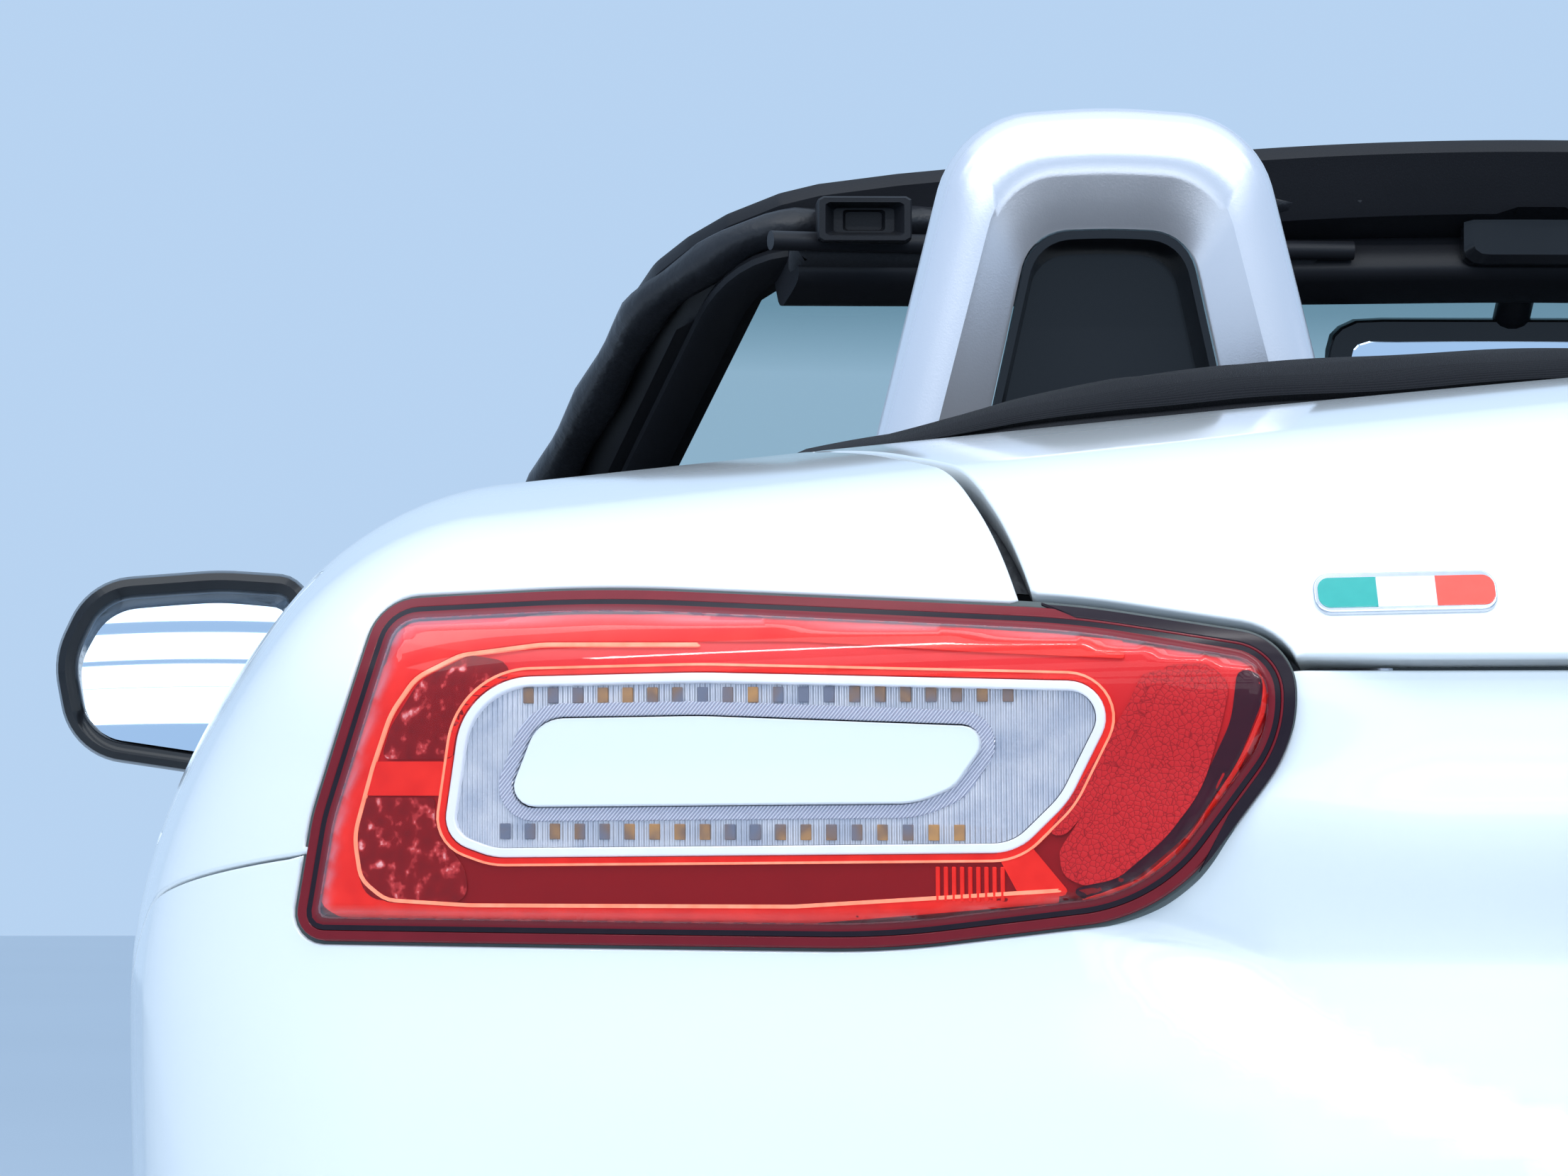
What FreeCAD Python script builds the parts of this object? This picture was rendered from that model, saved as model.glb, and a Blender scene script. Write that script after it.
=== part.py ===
"""A two-seat roadster convertible with its roof folded: body panels over a floor tub, hinged doors, bonnet,
boot lid and fuel flap, a framed windscreen, two roll hoops, steered front wheels and four turning wheels.

Millimetres. The front faces -Y, +X is the car's left, +Z is up. The origin is on the ground, midway along the
car and on its centre line. Left-hand pieces are modelled and mirrored for the right.
"""
import FreeCAD, Part
import math
import os

V = FreeCAD.Vector
os.makedirs("parts", exist_ok=True)

# Driving dimensions of the whole car
tail_y = 2022.0
nose_y = -2026.0
wheelbase = 2310.0
rear_axle_y = 1120.0
front_axle_y = rear_axle_y - wheelbase
track_half = 750.0
tyre_radius = 308.0
tyre_width = 205.0
rim_radius = 216.0
arch_radius = 350.0
underside_z = 150.0

# Panel build: gap between panels, gap that a moving panel needs, gap to what carries a panel, wall thickness
fixed_gap = 0.6
moving_gap = 6.0
seat_gap = 0.4
skin_wall = 14.0

# Body sections. Each row is a station along the car. Its columns are y, half width at the waist, height at the
# centre line, height over the wing at wing_x, and how fast the side leans in above the waist
wing_x = 690.0
waist_z = 650.0
sill_tuck = 0.00022
sections = [
    (-2300, 800, 520, 500, 0.0016),
    (-2026, 825, 640, 610, 0.0016),
    (-1850, 842, 735, 705, 0.0016),
    (-1600, 858, 800, 784, 0.0016),
    (-1190, 868, 862, 850, 0.0016),
    (-900, 858, 890, 868, 0.0013),
    (-640, 848, 912, 886, 0.0011),
    (-200, 842, 925, 896, 0.0010),
    (300, 846, 935, 902, 0.0012),
    (700, 860, 955, 911, 0.0017),
    (1120, 870, 976, 919, 0.0020),
    (1400, 868, 974, 908, 0.0020),
    (1650, 850, 962, 886, 0.0020),
    (1850, 822, 938, 858, 0.0018),
    (2300, 760, 880, 790, 0.0016),
]
# How far the ends lean away from upright. Columns are height, lean at the nose, lean at the tail
ends = [
    (100, 110, 150),
    (170, 62, 84),
    (250, 16, 30),
    (350, 0, 6),
    (450, 2, 0),
    (550, 16, 8),
    (620, 42, 20),
    (690, 96, 36),
    (760, 190, 46),
    (816, 300, 54),
    (850, 380, 78),
    (885, 470, 108),
    (930, 590, 152),
    (1000, 800, 230),
]
nose_bow_radius = 1300.0
tail_bow_radius = 1350.0
shoulder_blend = 46.0
end_blend = 90.0


def curve(rows, column, at):
    """Value of one column of a table, smoothly interpolated between its rows."""
    last = len(rows) - 1
    if at <= rows[0][0]:
        return float(rows[0][column])
    if at >= rows[last][0]:
        return float(rows[last][column])
    k = 0
    while rows[k + 1][0] < at:
        k += 1

    def slope(i):
        if i == 0 or i == last:
            return 0.0
        before = (rows[i][column] - rows[i - 1][column]) / (rows[i][0] - rows[i - 1][0])
        after = (rows[i + 1][column] - rows[i][column]) / (rows[i + 1][0] - rows[i][0])
        return 0.5 * (before + after)

    step = rows[k + 1][0] - rows[k][0]
    t = (at - rows[k][0]) / step
    a, b = rows[k][column], rows[k + 1][column]
    return (
        a * (1 + 2 * t) * (1 - t) ** 2
        + b * t * t * (3 - 2 * t)
        + step * (slope(k) * t * (1 - t) ** 2 - slope(k + 1) * t * t * (1 - t))
    )


def soft_max(a, b, blend):
    """The larger of two distances, rounded off over the blend."""
    over = blend - abs(a - b)
    return max(a, b) + (over * over / (4 * blend) if over > 0 else 0.0)


def half_width(y, z):
    wide, lean = curve(sections, 1, y), curve(sections, 4, y)
    if z > waist_z:
        return wide - lean * (z - waist_z) ** 2
    return wide - sill_tuck * (z - waist_z) ** 2


def top_height(x, y):
    centre, wing = curve(sections, 2, y), curve(sections, 3, y)
    return centre - (centre - wing) * (abs(x) / wing_x) ** 1.25


def tail_face(x, z):
    return tail_y - x * x / (2 * tail_bow_radius) - curve(ends, 2, z)


def nose_face(x, z):
    return nose_y + x * x / (2 * nose_bow_radius) + curve(ends, 1, z)


def outside(p):
    """Distance outside the body's outer form, negative inside."""
    x, y, z = p
    body = soft_max(abs(x) - half_width(y, z), z - top_height(x, y), shoulder_blend)
    if y > 0:
        return soft_max(body, y - tail_face(x, z), end_blend)
    return soft_max(body, nose_face(x, z) - y, end_blend)


def hit(origin, way, reach=1500.0):
    """The point where a ray from inside the body leaves its outer form."""
    near, far = 0.0, reach
    for _ in range(26):
        mid = 0.5 * (near + far)
        p = [o + mid * w for o, w in zip(origin, way)]
        if outside(p) < 0:
            near = mid
        else:
            far = mid
    return [o + near * w for o, w in zip(origin, way)]


def normal(p):
    step = 1.0
    g = []
    for k in range(3):
        a, b = list(p), list(p)
        a[k] += step
        b[k] -= step
        g.append(outside(a) - outside(b))
    size = math.sqrt(sum(c * c for c in g))
    return [c / size for c in g]


def deeper(p, depth):
    """The point that lies a depth below the outer form, under p."""
    return [c - depth * n for c, n in zip(p, normal(p))]


def polar(axis_y, turn, z):
    """Outer form in plan, seen from an upright axis. Turn 0 looks to the tail and 90 to the left."""
    a = math.radians(turn)
    return hit((0.0, axis_y, z), (math.sin(a), math.cos(a), 0.0), 2200.0)


def globe(centre, turn, rise):
    """Outer form seen from a point inside. Turn 0 looks to the tail and 90 to the left."""
    a, e = math.radians(turn), math.radians(rise)
    return hit(centre, (math.sin(a) * math.cos(e), math.cos(a) * math.cos(e), math.sin(e)))


def side(y, z):
    return hit((0.0, y, z), (1.0, 0.0, 0.0))


def top(x, y):
    return hit((x, y, 400.0), (0.0, 0.0, 1.0))


def grid(make, u_values, v_values):
    return [[make(u, v) for v in v_values] for u in u_values]


def steps(low, high, count):
    return [low + (high - low) * k / (count - 1) for k in range(count)]


def block(outer, inner):
    """Solid between two grids of points, each a smooth face, with straight edges joining them."""
    faces = []
    for points in (outer, inner):
        surface = Part.BSplineSurface()
        surface.interpolate([[V(*p) for p in row] for row in points])
        faces.append(surface)
    rims = []
    for surface in faces:
        u0, u1, v0, v1 = surface.bounds()
        rims.append([surface.uIso(u0), surface.uIso(u1), surface.vIso(v0), surface.vIso(v1)])
    walls = [Part.makeRuledSurface(a.toShape(), b.toShape()) for a, b in zip(*rims)]
    shell = Part.makeShell([f.toShape() for f in faces] + walls)
    shell.sewShape()
    solid = Part.makeSolid(shell)
    solid.fix(1e-4, 1e-4, 1e-4)
    if solid.Volume < 0:
        solid.reverse()
    return solid


def skin(make, u_values, v_values, wall, sunk=0.0):
    """Panel whose outside lies on the outer form, or sunk below it, with the given wall."""
    points = grid(make, u_values, v_values)
    return block(
        [[deeper(p, sunk) for p in row] for row in points],
        [[deeper(p, sunk + wall) for p in row] for row in points],
    )


def area(corners):
    return sum(p[0] * q[1] - q[0] * p[1] for p, q in zip(corners[-1:] + corners[:-1], corners)) / 2


def rounded(corners):
    """Closed flat outline of straight runs and tangent arcs. Each corner is a, b and its radius."""
    if area(corners) < 0:
        corners = corners[::-1]
    count = len(corners)
    starts, mids, finishes = [], [], []
    for k in range(count):
        p = V(corners[k][0], corners[k][1], 0)
        before = V(corners[k - 1][0], corners[k - 1][1], 0) - p
        after = V(corners[(k + 1) % count][0], corners[(k + 1) % count][1], 0) - p
        half_turn = before.getAngle(after) / 2
        trim = corners[k][2] / math.tan(half_turn)
        trim = min(trim, 0.49 * before.Length, 0.49 * after.Length)
        if trim < 0.05:
            trim = 0.0
        radius = trim * math.tan(half_turn)
        before.normalize()
        after.normalize()
        middle = before + after
        middle.normalize()
        starts.append(p + before * trim)
        finishes.append(p + after * trim)
        mids.append(p + middle * (radius / math.sin(half_turn) - radius))
    edges = []
    for k in range(count):
        if starts[k] != finishes[k]:
            edges.append(Part.Arc(starts[k], mids[k], finishes[k]).toShape())
        edges.append(Part.LineSegment(finishes[k], starts[(k + 1) % count]).toShape())
    return Part.Wire(Part.__sortEdges__(edges))


def grown(corners, by):
    """The same outline with its corners moved outwards, measured square to its sides."""
    count = len(corners)
    turn = 1.0 if area(corners) > 0 else -1.0
    moved = []
    for k in range(count):
        p = V(corners[k][0], corners[k][1], 0)
        before = p - V(corners[k - 1][0], corners[k - 1][1], 0)
        after = V(corners[(k + 1) % count][0], corners[(k + 1) % count][1], 0) - p
        before.normalize()
        after.normalize()
        out_before = V(before.y, -before.x, 0) * turn
        out_after = V(after.y, -after.x, 0) * turn
        middle = out_before + out_after
        middle.normalize()
        p = p + middle * (by / max(0.3, middle.dot(out_before)))
        moved.append((p.x, p.y, max(0.2, corners[k][2] + by)))
    return moved


def prism(corners, facing, low, high):
    """Outline carried straight along an axis. Facing Y takes corners as x and z, X as y and z, Z as x and y."""
    solid = Part.Face(rounded(corners)).extrude(V(0, 0, high - low))
    if facing == "Y":
        solid.translate(V(0, 0, -high))
        solid.rotate(V(0, 0, 0), V(1, 0, 0), 90)
        return solid
    solid.translate(V(0, 0, low))
    if facing == "X":
        solid.rotate(V(0, 0, 0), V(1, 1, 1), 120)
    return solid


def box(x0, x1, y0, y1, z0, z1):
    return Part.makeBox(x1 - x0, y1 - y0, z1 - z0, V(x0, y0, z0))


def mirrored(shape):
    return shape.mirror(V(0, 0, 0), V(1, 0, 0))


def joined(*shapes):
    whole = shapes[0]
    for shape in shapes[1:]:
        whole = whole.fuse(shape)
    return whole.removeSplitter()


def both(shape):
    return Part.makeCompound(shape.Solids + mirrored(shape).Solids)


nodes = {}


def keep(name, shape):
    solids = shape.Solids
    nodes[name] = solids[0] if len(solids) == 1 else Part.makeCompound(solids)
    nodes[name].exportStep("parts/" + name + ".step")
    bad = [s for s in solids if not s.isValid()]
    volume = sum(s.Volume for s in solids) / 1e6
    print(name, len(solids), "solids", round(volume, 3), "litres", "BAD" if bad or not solids else "")


# Shut lines that panels share
door_front_y = -684.0
door_rear_y = 452.0
sill_top_z = 206.0
bonnet_rear_y = -636.0
bonnet_front_y = -1872.0
bonnet_front_x = 545.0
bonnet_rear_x = 640.0
nose_split_y = -1560.0
deck_front_y = 1150.0
lid_front_y = 1244.0
crease_z = 814.0
cockpit_rear_y = 1005.0

# The line where boot lid and deck meet the rear wings, seen from above. Columns are x, y and corner radius
lid_edge = [(536, 1100, 1), (530, 1400, 400), (503, 1640, 400), (478, 1790, 300), (466, 2060, 1)]
# The line where the tail bumper meets the rear wing, seen from the side. Columns are y, z and corner radius
bumper_edge = [
    (1300, 520, 1), (1345, 578, 30), (1450, 650, 80), (1600, 700, 200), (1762, 729, 1), (2100, 729, 1),
]

# Tail lamp outline seen from behind. Columns are x, z and corner radius
lamp_corners = [
    (779, 690, 12),
    (770, 745, 90),
    (740, 842, 24),
    (640, 846, 700),
    (440, 835, 400),
    (351, 820, 26),
    (350, 778, 60),
    (404, 704, 80),
    (520, 689, 400),
]
lamp_proud = 10.0
lens_wall = 6.0
# The clear ring in the lamp and the painted island inside it
ring_corners = [
    (712, 735, 22), (705, 806, 34), (600, 812, 400), (444, 806, 22), (470, 752, 30), (497, 729, 30),
    (690, 725, 30),
]
island_corners = [
    (688, 748, 12), (676, 787, 16), (600, 791, 300), (496, 784, 12), (513, 757, 16), (530, 750, 60),
]
# Headlamp outline seen from in front. Columns are x, z and corner radius
headlamp_corners = [
    (574, 602, 24), (660, 612, 200), (792, 676, 20), (770, 728, 40), (660, 714, 300), (582, 674, 30),
]
grille_corners = [
    (-300, 420, 40), (-420, 500, 40), (-330, 610, 40), (330, 610, 40), (420, 500, 40), (300, 420, 40),
]

# Wheel arches, cut through the skins, and the liners inside them
liner_wall = 6.0
front_liner_radius = 386.0
rear_liner_radius = 358.0
liner_low_z = 262.0
liner_outer_x = 790.0


def across(radius, y, z, x0, x1):
    return Part.makeCylinder(radius, x1 - x0, V(x0, y, z), V(1, 0, 0))


arch_front = across(arch_radius, front_axle_y, tyre_radius, 450, 1100)
arch_rear = across(arch_radius, rear_axle_y, tyre_radius, 450, 1100)

# Structure: floor tub with tunnel, sill boxes, rear walls and bulkhead
tub_x = 735.0
tub_front_y = -640.0
tub_wide_y = 748.0
floor_top_z = 172.0
tunnel_x = 115.0
tunnel_top_z = 340.0
sill_box_x = 655.0
sill_box_top_z = 332.0
rear_wall_x = 520.0
panel_wall = 20.0
bulkhead_top_z = 800.0
firewall_y = tub_front_y - seat_gap
rail_x = (360.0, 440.0)
apron_x = 462.0
arm_z = 196.0
arm_wall = 20.0
cross_z = arm_z + arm_wall + seat_gap
floor_tub = joined(
    box(-tub_x, tub_x, tub_front_y, tub_wide_y, underside_z, floor_top_z),
    box(-rear_wall_x, rear_wall_x, tub_wide_y, cockpit_rear_y + 25, underside_z, floor_top_z),
    box(-tunnel_x, tunnel_x, tub_front_y, cockpit_rear_y, floor_top_z, tunnel_top_z),
    box(sill_box_x, tub_x, tub_front_y, tub_wide_y, floor_top_z, sill_box_top_z),
    box(-tub_x, -sill_box_x, tub_front_y, tub_wide_y, floor_top_z, sill_box_top_z),
    box(-rear_wall_x, rear_wall_x, cockpit_rear_y, cockpit_rear_y + 25, floor_top_z, bulkhead_top_z),
    box(rear_wall_x - panel_wall, rear_wall_x, tub_wide_y - 20, cockpit_rear_y, floor_top_z, bulkhead_top_z),
    box(-rear_wall_x, panel_wall - rear_wall_x, tub_wide_y - 20, cockpit_rear_y, floor_top_z, bulkhead_top_z),
)
keep("floor_tub", floor_tub)

# Body side trims behind the doors, from sill box to belt
trim_front_y = 468.0
side_trim = box(sill_box_x, tub_x, trim_front_y, tub_wide_y, sill_box_top_z + seat_gap, 850)
side_trim = side_trim.fuse(box(rear_wall_x + seat_gap, sill_box_x, tub_wide_y - 20, tub_wide_y, 200, 850))
keep("side_trims", both(side_trim.removeSplitter()))

# Sills: the painted rails below the doors
sill_front_y = front_axle_y + arch_radius + 8
sill_outer = grid(side, steps(sill_front_y, tub_wide_y, 9), steps(underside_z, sill_top_z, 4))
sill_inner = [[[tub_x + seat_gap, p[1], p[2]] for p in row] for row in sill_outer]
keep("sills", both(block(sill_outer, sill_inner)))

# Wheel arch liners
def liner(radius, axle_y, inner_x):
    ring = across(radius + liner_wall, axle_y, tyre_radius, inner_x, liner_outer_x)
    ring = ring.cut(across(radius, axle_y, tyre_radius, inner_x - 1, liner_outer_x + 1))
    return ring.cut(box(0, 1200, axle_y - 900, axle_y + 900, -200, liner_low_z))


liners = [
    liner(front_liner_radius, front_axle_y, apron_x + seat_gap),
    liner(rear_liner_radius, rear_axle_y, rear_wall_x + seat_gap),
]
keep("arch_liners", both(Part.makeCompound(liners)))

# Rear frame: boot floor, walls and tail beam
boot_floor_z = 400.4
boot_rear_y = 1850.0
rear_y = cockpit_rear_y + 25 + seat_gap
tow_x = 440.0
tow_z = 450.0
tow_bore = 9.0
tow_length = 48.0
tow_hole = 30.0
rear_frame = joined(
    box(-rear_wall_x, rear_wall_x, rear_y, boot_rear_y, boot_floor_z, boot_floor_z + 20),
    box(rear_wall_x - panel_wall, rear_wall_x, rear_y, boot_rear_y, boot_floor_z + 20, 790),
    box(-rear_wall_x, panel_wall - rear_wall_x, rear_y, boot_rear_y, boot_floor_z + 20, 790),
    box(-rear_wall_x, rear_wall_x, boot_rear_y, boot_rear_y + 20, boot_floor_z, 790),
    Part.makeCylinder(18, tow_length + 2, V(tow_x, boot_rear_y + 18, tow_z), V(0, 1, 0)),
)
tow_y = boot_rear_y + panel_wall
tow_socket = Part.makeCylinder(tow_bore, tow_length + 10, V(tow_x, tow_y, tow_z), V(0, 1, 0))
keep("rear_frame", rear_frame.cut(tow_socket))


# Bonnet: one pressed panel, hinged along its rear edge
def bonnet_half(y):
    share = (y - bonnet_front_y) / (bonnet_rear_y - bonnet_front_y)
    return bonnet_front_x + (bonnet_rear_x - bonnet_front_x) * share


def bonnet_point(y, s):
    return top(s * bonnet_half(y), y)


bonnet_rows = steps(bonnet_front_y, bonnet_rear_y, 9)
keep("bonnet", skin(bonnet_point, bonnet_rows, steps(-1, 1, 9), skin_wall))

# Front frame: firewall, rails, aprons, cross members, and four bump stops that the bonnet rests on
front_frame = joined(
    box(-sill_box_x, sill_box_x, firewall_y - 24, firewall_y, underside_z, 856),
    box(rail_x[0], rail_x[1], -1880, firewall_y - 24, 300, 400),
    box(-rail_x[1], -rail_x[0], -1880, firewall_y - 24, 300, 400),
    box(rail_x[1], apron_x, -1560, firewall_y - 24, 300, 740),
    box(-apron_x, -rail_x[1], -1560, firewall_y - 24, 300, 740),
    box(-rail_x[1], rail_x[1], -1930, -1880, 300, 420),
    box(-rail_x[0], rail_x[0], front_axle_y - 60, front_axle_y + 60, cross_z, 330),
)
for x in (-apron_x + 11, apron_x - 11):
    for y in (-1500, -760):
        front_frame = front_frame.fuse(box(x - 10, x + 10, y - 20, y + 20, 700, 900))
bonnet_clear = skin(bonnet_point, bonnet_rows, steps(-1, 1, 9), 200.0 + skin_wall + seat_gap, -200.0)
keep("front_frame", front_frame.cut(bonnet_clear).removeSplitter())
engine = box(-250, 250, -1480, -760, 330 + seat_gap, 720).fuse(box(-120, 120, -760, -672, 360, 560))
keep("engine_block", engine.removeSplitter())

# Front wings: side and top in one, from the nose split back to the door
def girth(y, share, low_z, inner_x):
    """Outer form at one station, from a height on the side up and over to a place on the top."""
    centre = (inner_x - 60.0, y, 470.0)

    def at(angle):
        return hit(centre, (math.cos(angle), 0.0, math.sin(angle)), 900.0)

    def find(test):
        a, b = math.radians(-80), math.radians(120)
        for _ in range(22):
            mid = 0.5 * (a + b)
            if test(at(mid)):
                b = mid
            else:
                a = mid
        return a

    first = find(lambda p: p[2] > low_z)
    last = find(lambda p: p[0] < inner_x)
    return at(first + (last - first) * share)


wing = skin(
    lambda y, s: girth(y, s, sill_top_z + fixed_gap, bonnet_half(y) + moving_gap),
    steps(nose_split_y - 12, door_front_y + 6, 12),
    steps(0, 1, 15),
    skin_wall,
)
wing = wing.cut(arch_front).cut(box(0, 1200, door_front_y - moving_gap, -400, 0, 1200))
keep("front_wings", both(wing.cut(box(0, 1200, -2000, nose_split_y + fixed_gap, 0, 1200))))

# Front bumper: around the nose from wing to wing, with openings for headlamps and grille
bumper = skin(
    lambda turn, z: polar(-1250.0, turn, z),
    steps(180 - 97, 180 + 97, 23),
    steps(172, 712, 11),
    skin_wall,
)
nose = skin(
    lambda turn, rise: globe((0.0, -1500.0, 480.0), turn, rise),
    steps(180 - 97, 180 + 97, 23),
    steps(8, 52, 9),
    skin_wall,
)
front_cut = box(-1200, 1200, nose_split_y, 0, 0, 1300)
bonnet_gap = [
    (-bonnet_front_x - moving_gap, bonnet_front_y - moving_gap, 2),
    (bonnet_front_x + moving_gap, bonnet_front_y - moving_gap, 2),
    (bonnet_rear_x + moving_gap, bonnet_rear_y, 2),
    (-bonnet_rear_x - moving_gap, bonnet_rear_y, 2),
]
bumper_low = bumper.cut(box(-1200, 1200, -2300, 0, 600, 1300))
bumper_high = nose.cut(box(-1200, 1200, -2300, 0, 0, 600)).cut(prism(bonnet_gap, "Z", 500, 1300))
bumper = joined(bumper_low, bumper_high).cut(front_cut).cut(arch_front).cut(mirrored(arch_front))
lamp_hole = prism(grown(headlamp_corners, seat_gap), "Y", -2300, -1500)
grille_hole = prism(grown(grille_corners, seat_gap), "Y", -2300, -1500)
bumper = bumper.cut(lamp_hole).cut(mirrored(lamp_hole)).cut(grille_hole)
keep("front_bumper", bumper)
headlamp_block = skin(
    lambda turn, rise: globe((0.0, -1500.0, 480.0), turn, rise),
    steps(92, 170, 11),
    steps(4, 44, 7),
    60,
    -2.0,
)
headlamp = headlamp_block.common(prism(headlamp_corners, "Y", -2300, nose_split_y - fixed_gap))
keep("headlamps", both(headlamp))
grille = skin(lambda turn, z: polar(-1250.0, turn, z), steps(150, 210, 9), steps(400, 630, 5), 14, 4)
keep("grille", grille.common(prism(grille_corners, "Y", -2300, -1500)))

# Cowl: between bonnet, wings, doors and windscreen
cowl_x = 739.0
cowl_rear_y = -430.0
cowl_xs = steps(-cowl_x - 20, cowl_x + 20, 13)
cowl = skin(top, cowl_xs, steps(door_front_y - 20, cowl_rear_y + 20, 6), skin_wall)
cowl = cowl.common(box(-cowl_x, cowl_x, door_front_y - moving_gap + fixed_gap, cowl_rear_y, 700, 1000))
cowl = cowl.cut(prism([(-646, -900, 1), (646, -900, 1), (646, -630, 4), (-646, -630, 4)], "Z", 300, 1200))
keep("cowl_panel", cowl)

# Doors, each a shell as thick as the whole door. The inner face's rear edge is set in, to clear as it swings
door_top_x = 745.0
door_inner_x = 740.0
outer = grid(
    lambda y, share: girth(y, share, sill_top_z + moving_gap, door_top_x),
    steps(door_front_y, door_rear_y, 10),
    steps(0, 1, 9),
)
inner = []
for k, row in enumerate(outer):
    set_in = 14.0 * max(0.0, k - 7.0) / 2.0
    inner.append([[door_inner_x, row[0][1] - set_in, p[2] - 12.0 * i / 8.0] for i, p in enumerate(row)])
door = block(outer, inner)
keep("door_left_shell", door)
keep("door_right_shell", mirrored(door))

# Door seals: U-shaped rubber strips on the sill boxes and side trims
seal_outline = [
    (-664, 224, 20), (-664, 700, 2), (-640, 700, 2), (-640, 244, 12), (416, 244, 12), (416, 700, 2),
    (440, 700, 2), (440, 224, 20),
]
keep("door_seals", both(prism(seal_outline, "X", tub_x + seat_gap, door_inner_x - seat_gap)))


# Rear wings: one patch along the side and round the corner to the tail
def quarter_point(way, rise):
    origin_y, turn = way
    a, e = math.radians(turn), math.radians(rise)
    return hit((300.0, origin_y, 520.0), (math.sin(a) * math.cos(e), math.cos(a) * math.cos(e), math.sin(e)))


quarter_rows = [(y, 90.0) for y in steps(door_rear_y - 20, 1480, 10)]
quarter_rows += [(1480.0, turn) for turn in steps(83, -8, 14)]
quarter_rises = steps(-36, 62, 17)
quarter = skin(quarter_point, quarter_rows, quarter_rises, skin_wall)
quarter_clear = skin(quarter_point, quarter_rows, quarter_rises, skin_wall + seat_gap)
wing_front_y = door_rear_y + moving_gap
wing_side = [(wing_front_y, sill_top_z + fixed_gap, 4), (wing_front_y, 1200, 1), (2100, 1200, 1)]
wing_side += [(y, z + fixed_gap, r) for y, z, r in reversed(bumper_edge)]
wing_side += [(1100, 400, 1), (1100, sill_top_z + fixed_gap, 1)]
wing_plan = lid_edge + [(1000, 2060, 1), (1000, 400, 1), (688, 400, 1), (676, 940, 60), (536, 1010, 30)]
quarter = quarter.common(prism(wing_side, "X", 200, 1000)).common(prism(wing_plan, "Z", 100, 1200))
lamp_hole = prism(grown(lamp_corners, seat_gap), "Y", 1500, 2200)
quarter = quarter.cut(arch_rear).cut(lamp_hole)

# Fuel flap: a piece of the left rear wing's shoulder, hinged at its front edge
flap_centre = side(1440.0, 800.0)
flap_way = V(*normal(flap_centre))
flap_half = 72.0


def flap_prism(half, radius):
    outline = [(-half, -half, radius), (half, -half, radius), (half, half, radius), (-half, half, radius)]
    body = Part.Face(rounded(outline)).extrude(V(0, 0, 260))
    body.translate(V(0, 0, -130))
    rise = V(0, 0, 1) - flap_way * flap_way.z
    rise.normalize()
    along = rise.cross(flap_way)
    m = FreeCAD.Matrix(
        along.x, rise.x, flap_way.x, flap_centre[0], along.y, rise.y, flap_way.y, flap_centre[1],
        along.z, rise.z, flap_way.z, flap_centre[2], 0, 0, 0, 1,
    )
    return body.transformGeometry(m)


flap = quarter.common(flap_prism(flap_half, 34))
quarter_left = quarter.cut(flap_prism(flap_half + 5.0, 39))
keep("rear_wings", Part.makeCompound(quarter_left.Solids + mirrored(quarter).Solids))
keep("fuel_flap", flap)
flap_pocket = flap_prism(flap_half + 14, 40).common(
    skin(quarter_point, quarter_rows, quarter_rises, 12.0, skin_wall + seat_gap)
)
keep("fuel_pocket", flap_pocket)

# Tail bumper, set in under the lid's lip and around the number plate
lip_depth = 12.0
recess_depth = 24.0
recess_centre_z = 740.0
recess_outer = (458.0, 160.0)
recess_inner = (378.0, 147.0)


def smooth(t):
    t = min(1.0, max(0.0, t))
    return t * t * (3 - 2 * t)


def recess(x, z):
    """How far the bumper's face is set in, at a place seen from behind."""
    lip = lip_depth * smooth((z - 716) / 90) * smooth((375 - abs(x)) / 90)
    up = abs(z - recess_centre_z)
    rings = (recess_outer, recess_inner)
    far, near = [((abs(x) / a) ** 2.2 + (up / b) ** 2.2) ** (1 / 2.2) for a, b in rings]
    inward = float(near <= 1)
    if far < 1 < near:
        inward = (1 - far) / (near - far)
    return lip + recess_depth * smooth(inward) * smooth((752 - z) / 70)


def bumper_point(turn, z):
    x, y, z = polar(1200.0, turn, z)
    return [x, y - recess(x, z), z]


turns = steps(-104, -32, 9) + steps(-28, 28, 17) + steps(32, 104, 9)
bumper = skin(bumper_point, turns, steps(178, 540, 6) + steps(570, 842, 12), skin_wall)
bumper_side = [(y, z - fixed_gap, r) for y, z, r in bumper_edge[:-2]] + [(1762, 729 - fixed_gap, 1)]
bumper_side += [(1762, crease_z - moving_gap, 1), (2200, crease_z - moving_gap, 1)]
bumper_side += [(2200, 100, 1), (1300, 100, 1)]
bumper = bumper.common(prism(bumper_side, "X", -1000, 1000)).cut(arch_rear).cut(mirrored(arch_rear))
outlet_x = 370.0
outlet_hole = Part.makeCylinder(46, 500, V(outlet_x, 1700, 300), V(0, 1, 0))
bumper = bumper.cut(lamp_hole).cut(mirrored(lamp_hole))
bumper = bumper.cut(Part.makeCylinder(tow_hole, 200, V(tow_x, tow_y, tow_z), V(0, 1, 0)))
plate_z = (612.0, 777.0)
plate_y = 1983.0
bumper = bumper.cut(outlet_hole).cut(mirrored(outlet_hole))
bumper = bumper.fuse(box(-150, 150, 1955, plate_y, plate_z[0] + 14, plate_z[1] - 14))
plate_hole = Part.makeCylinder(3.5, 8, V(105, plate_y - 3, plate_z[1] - 24), V(0, 1, 0))
plate = box(-165, 165, plate_y + seat_gap, plate_y + seat_gap + 1.6, *plate_z)
keep("tail_bumper", bumper.cut(plate_hole).cut(mirrored(plate_hole)).removeSplitter())
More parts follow.
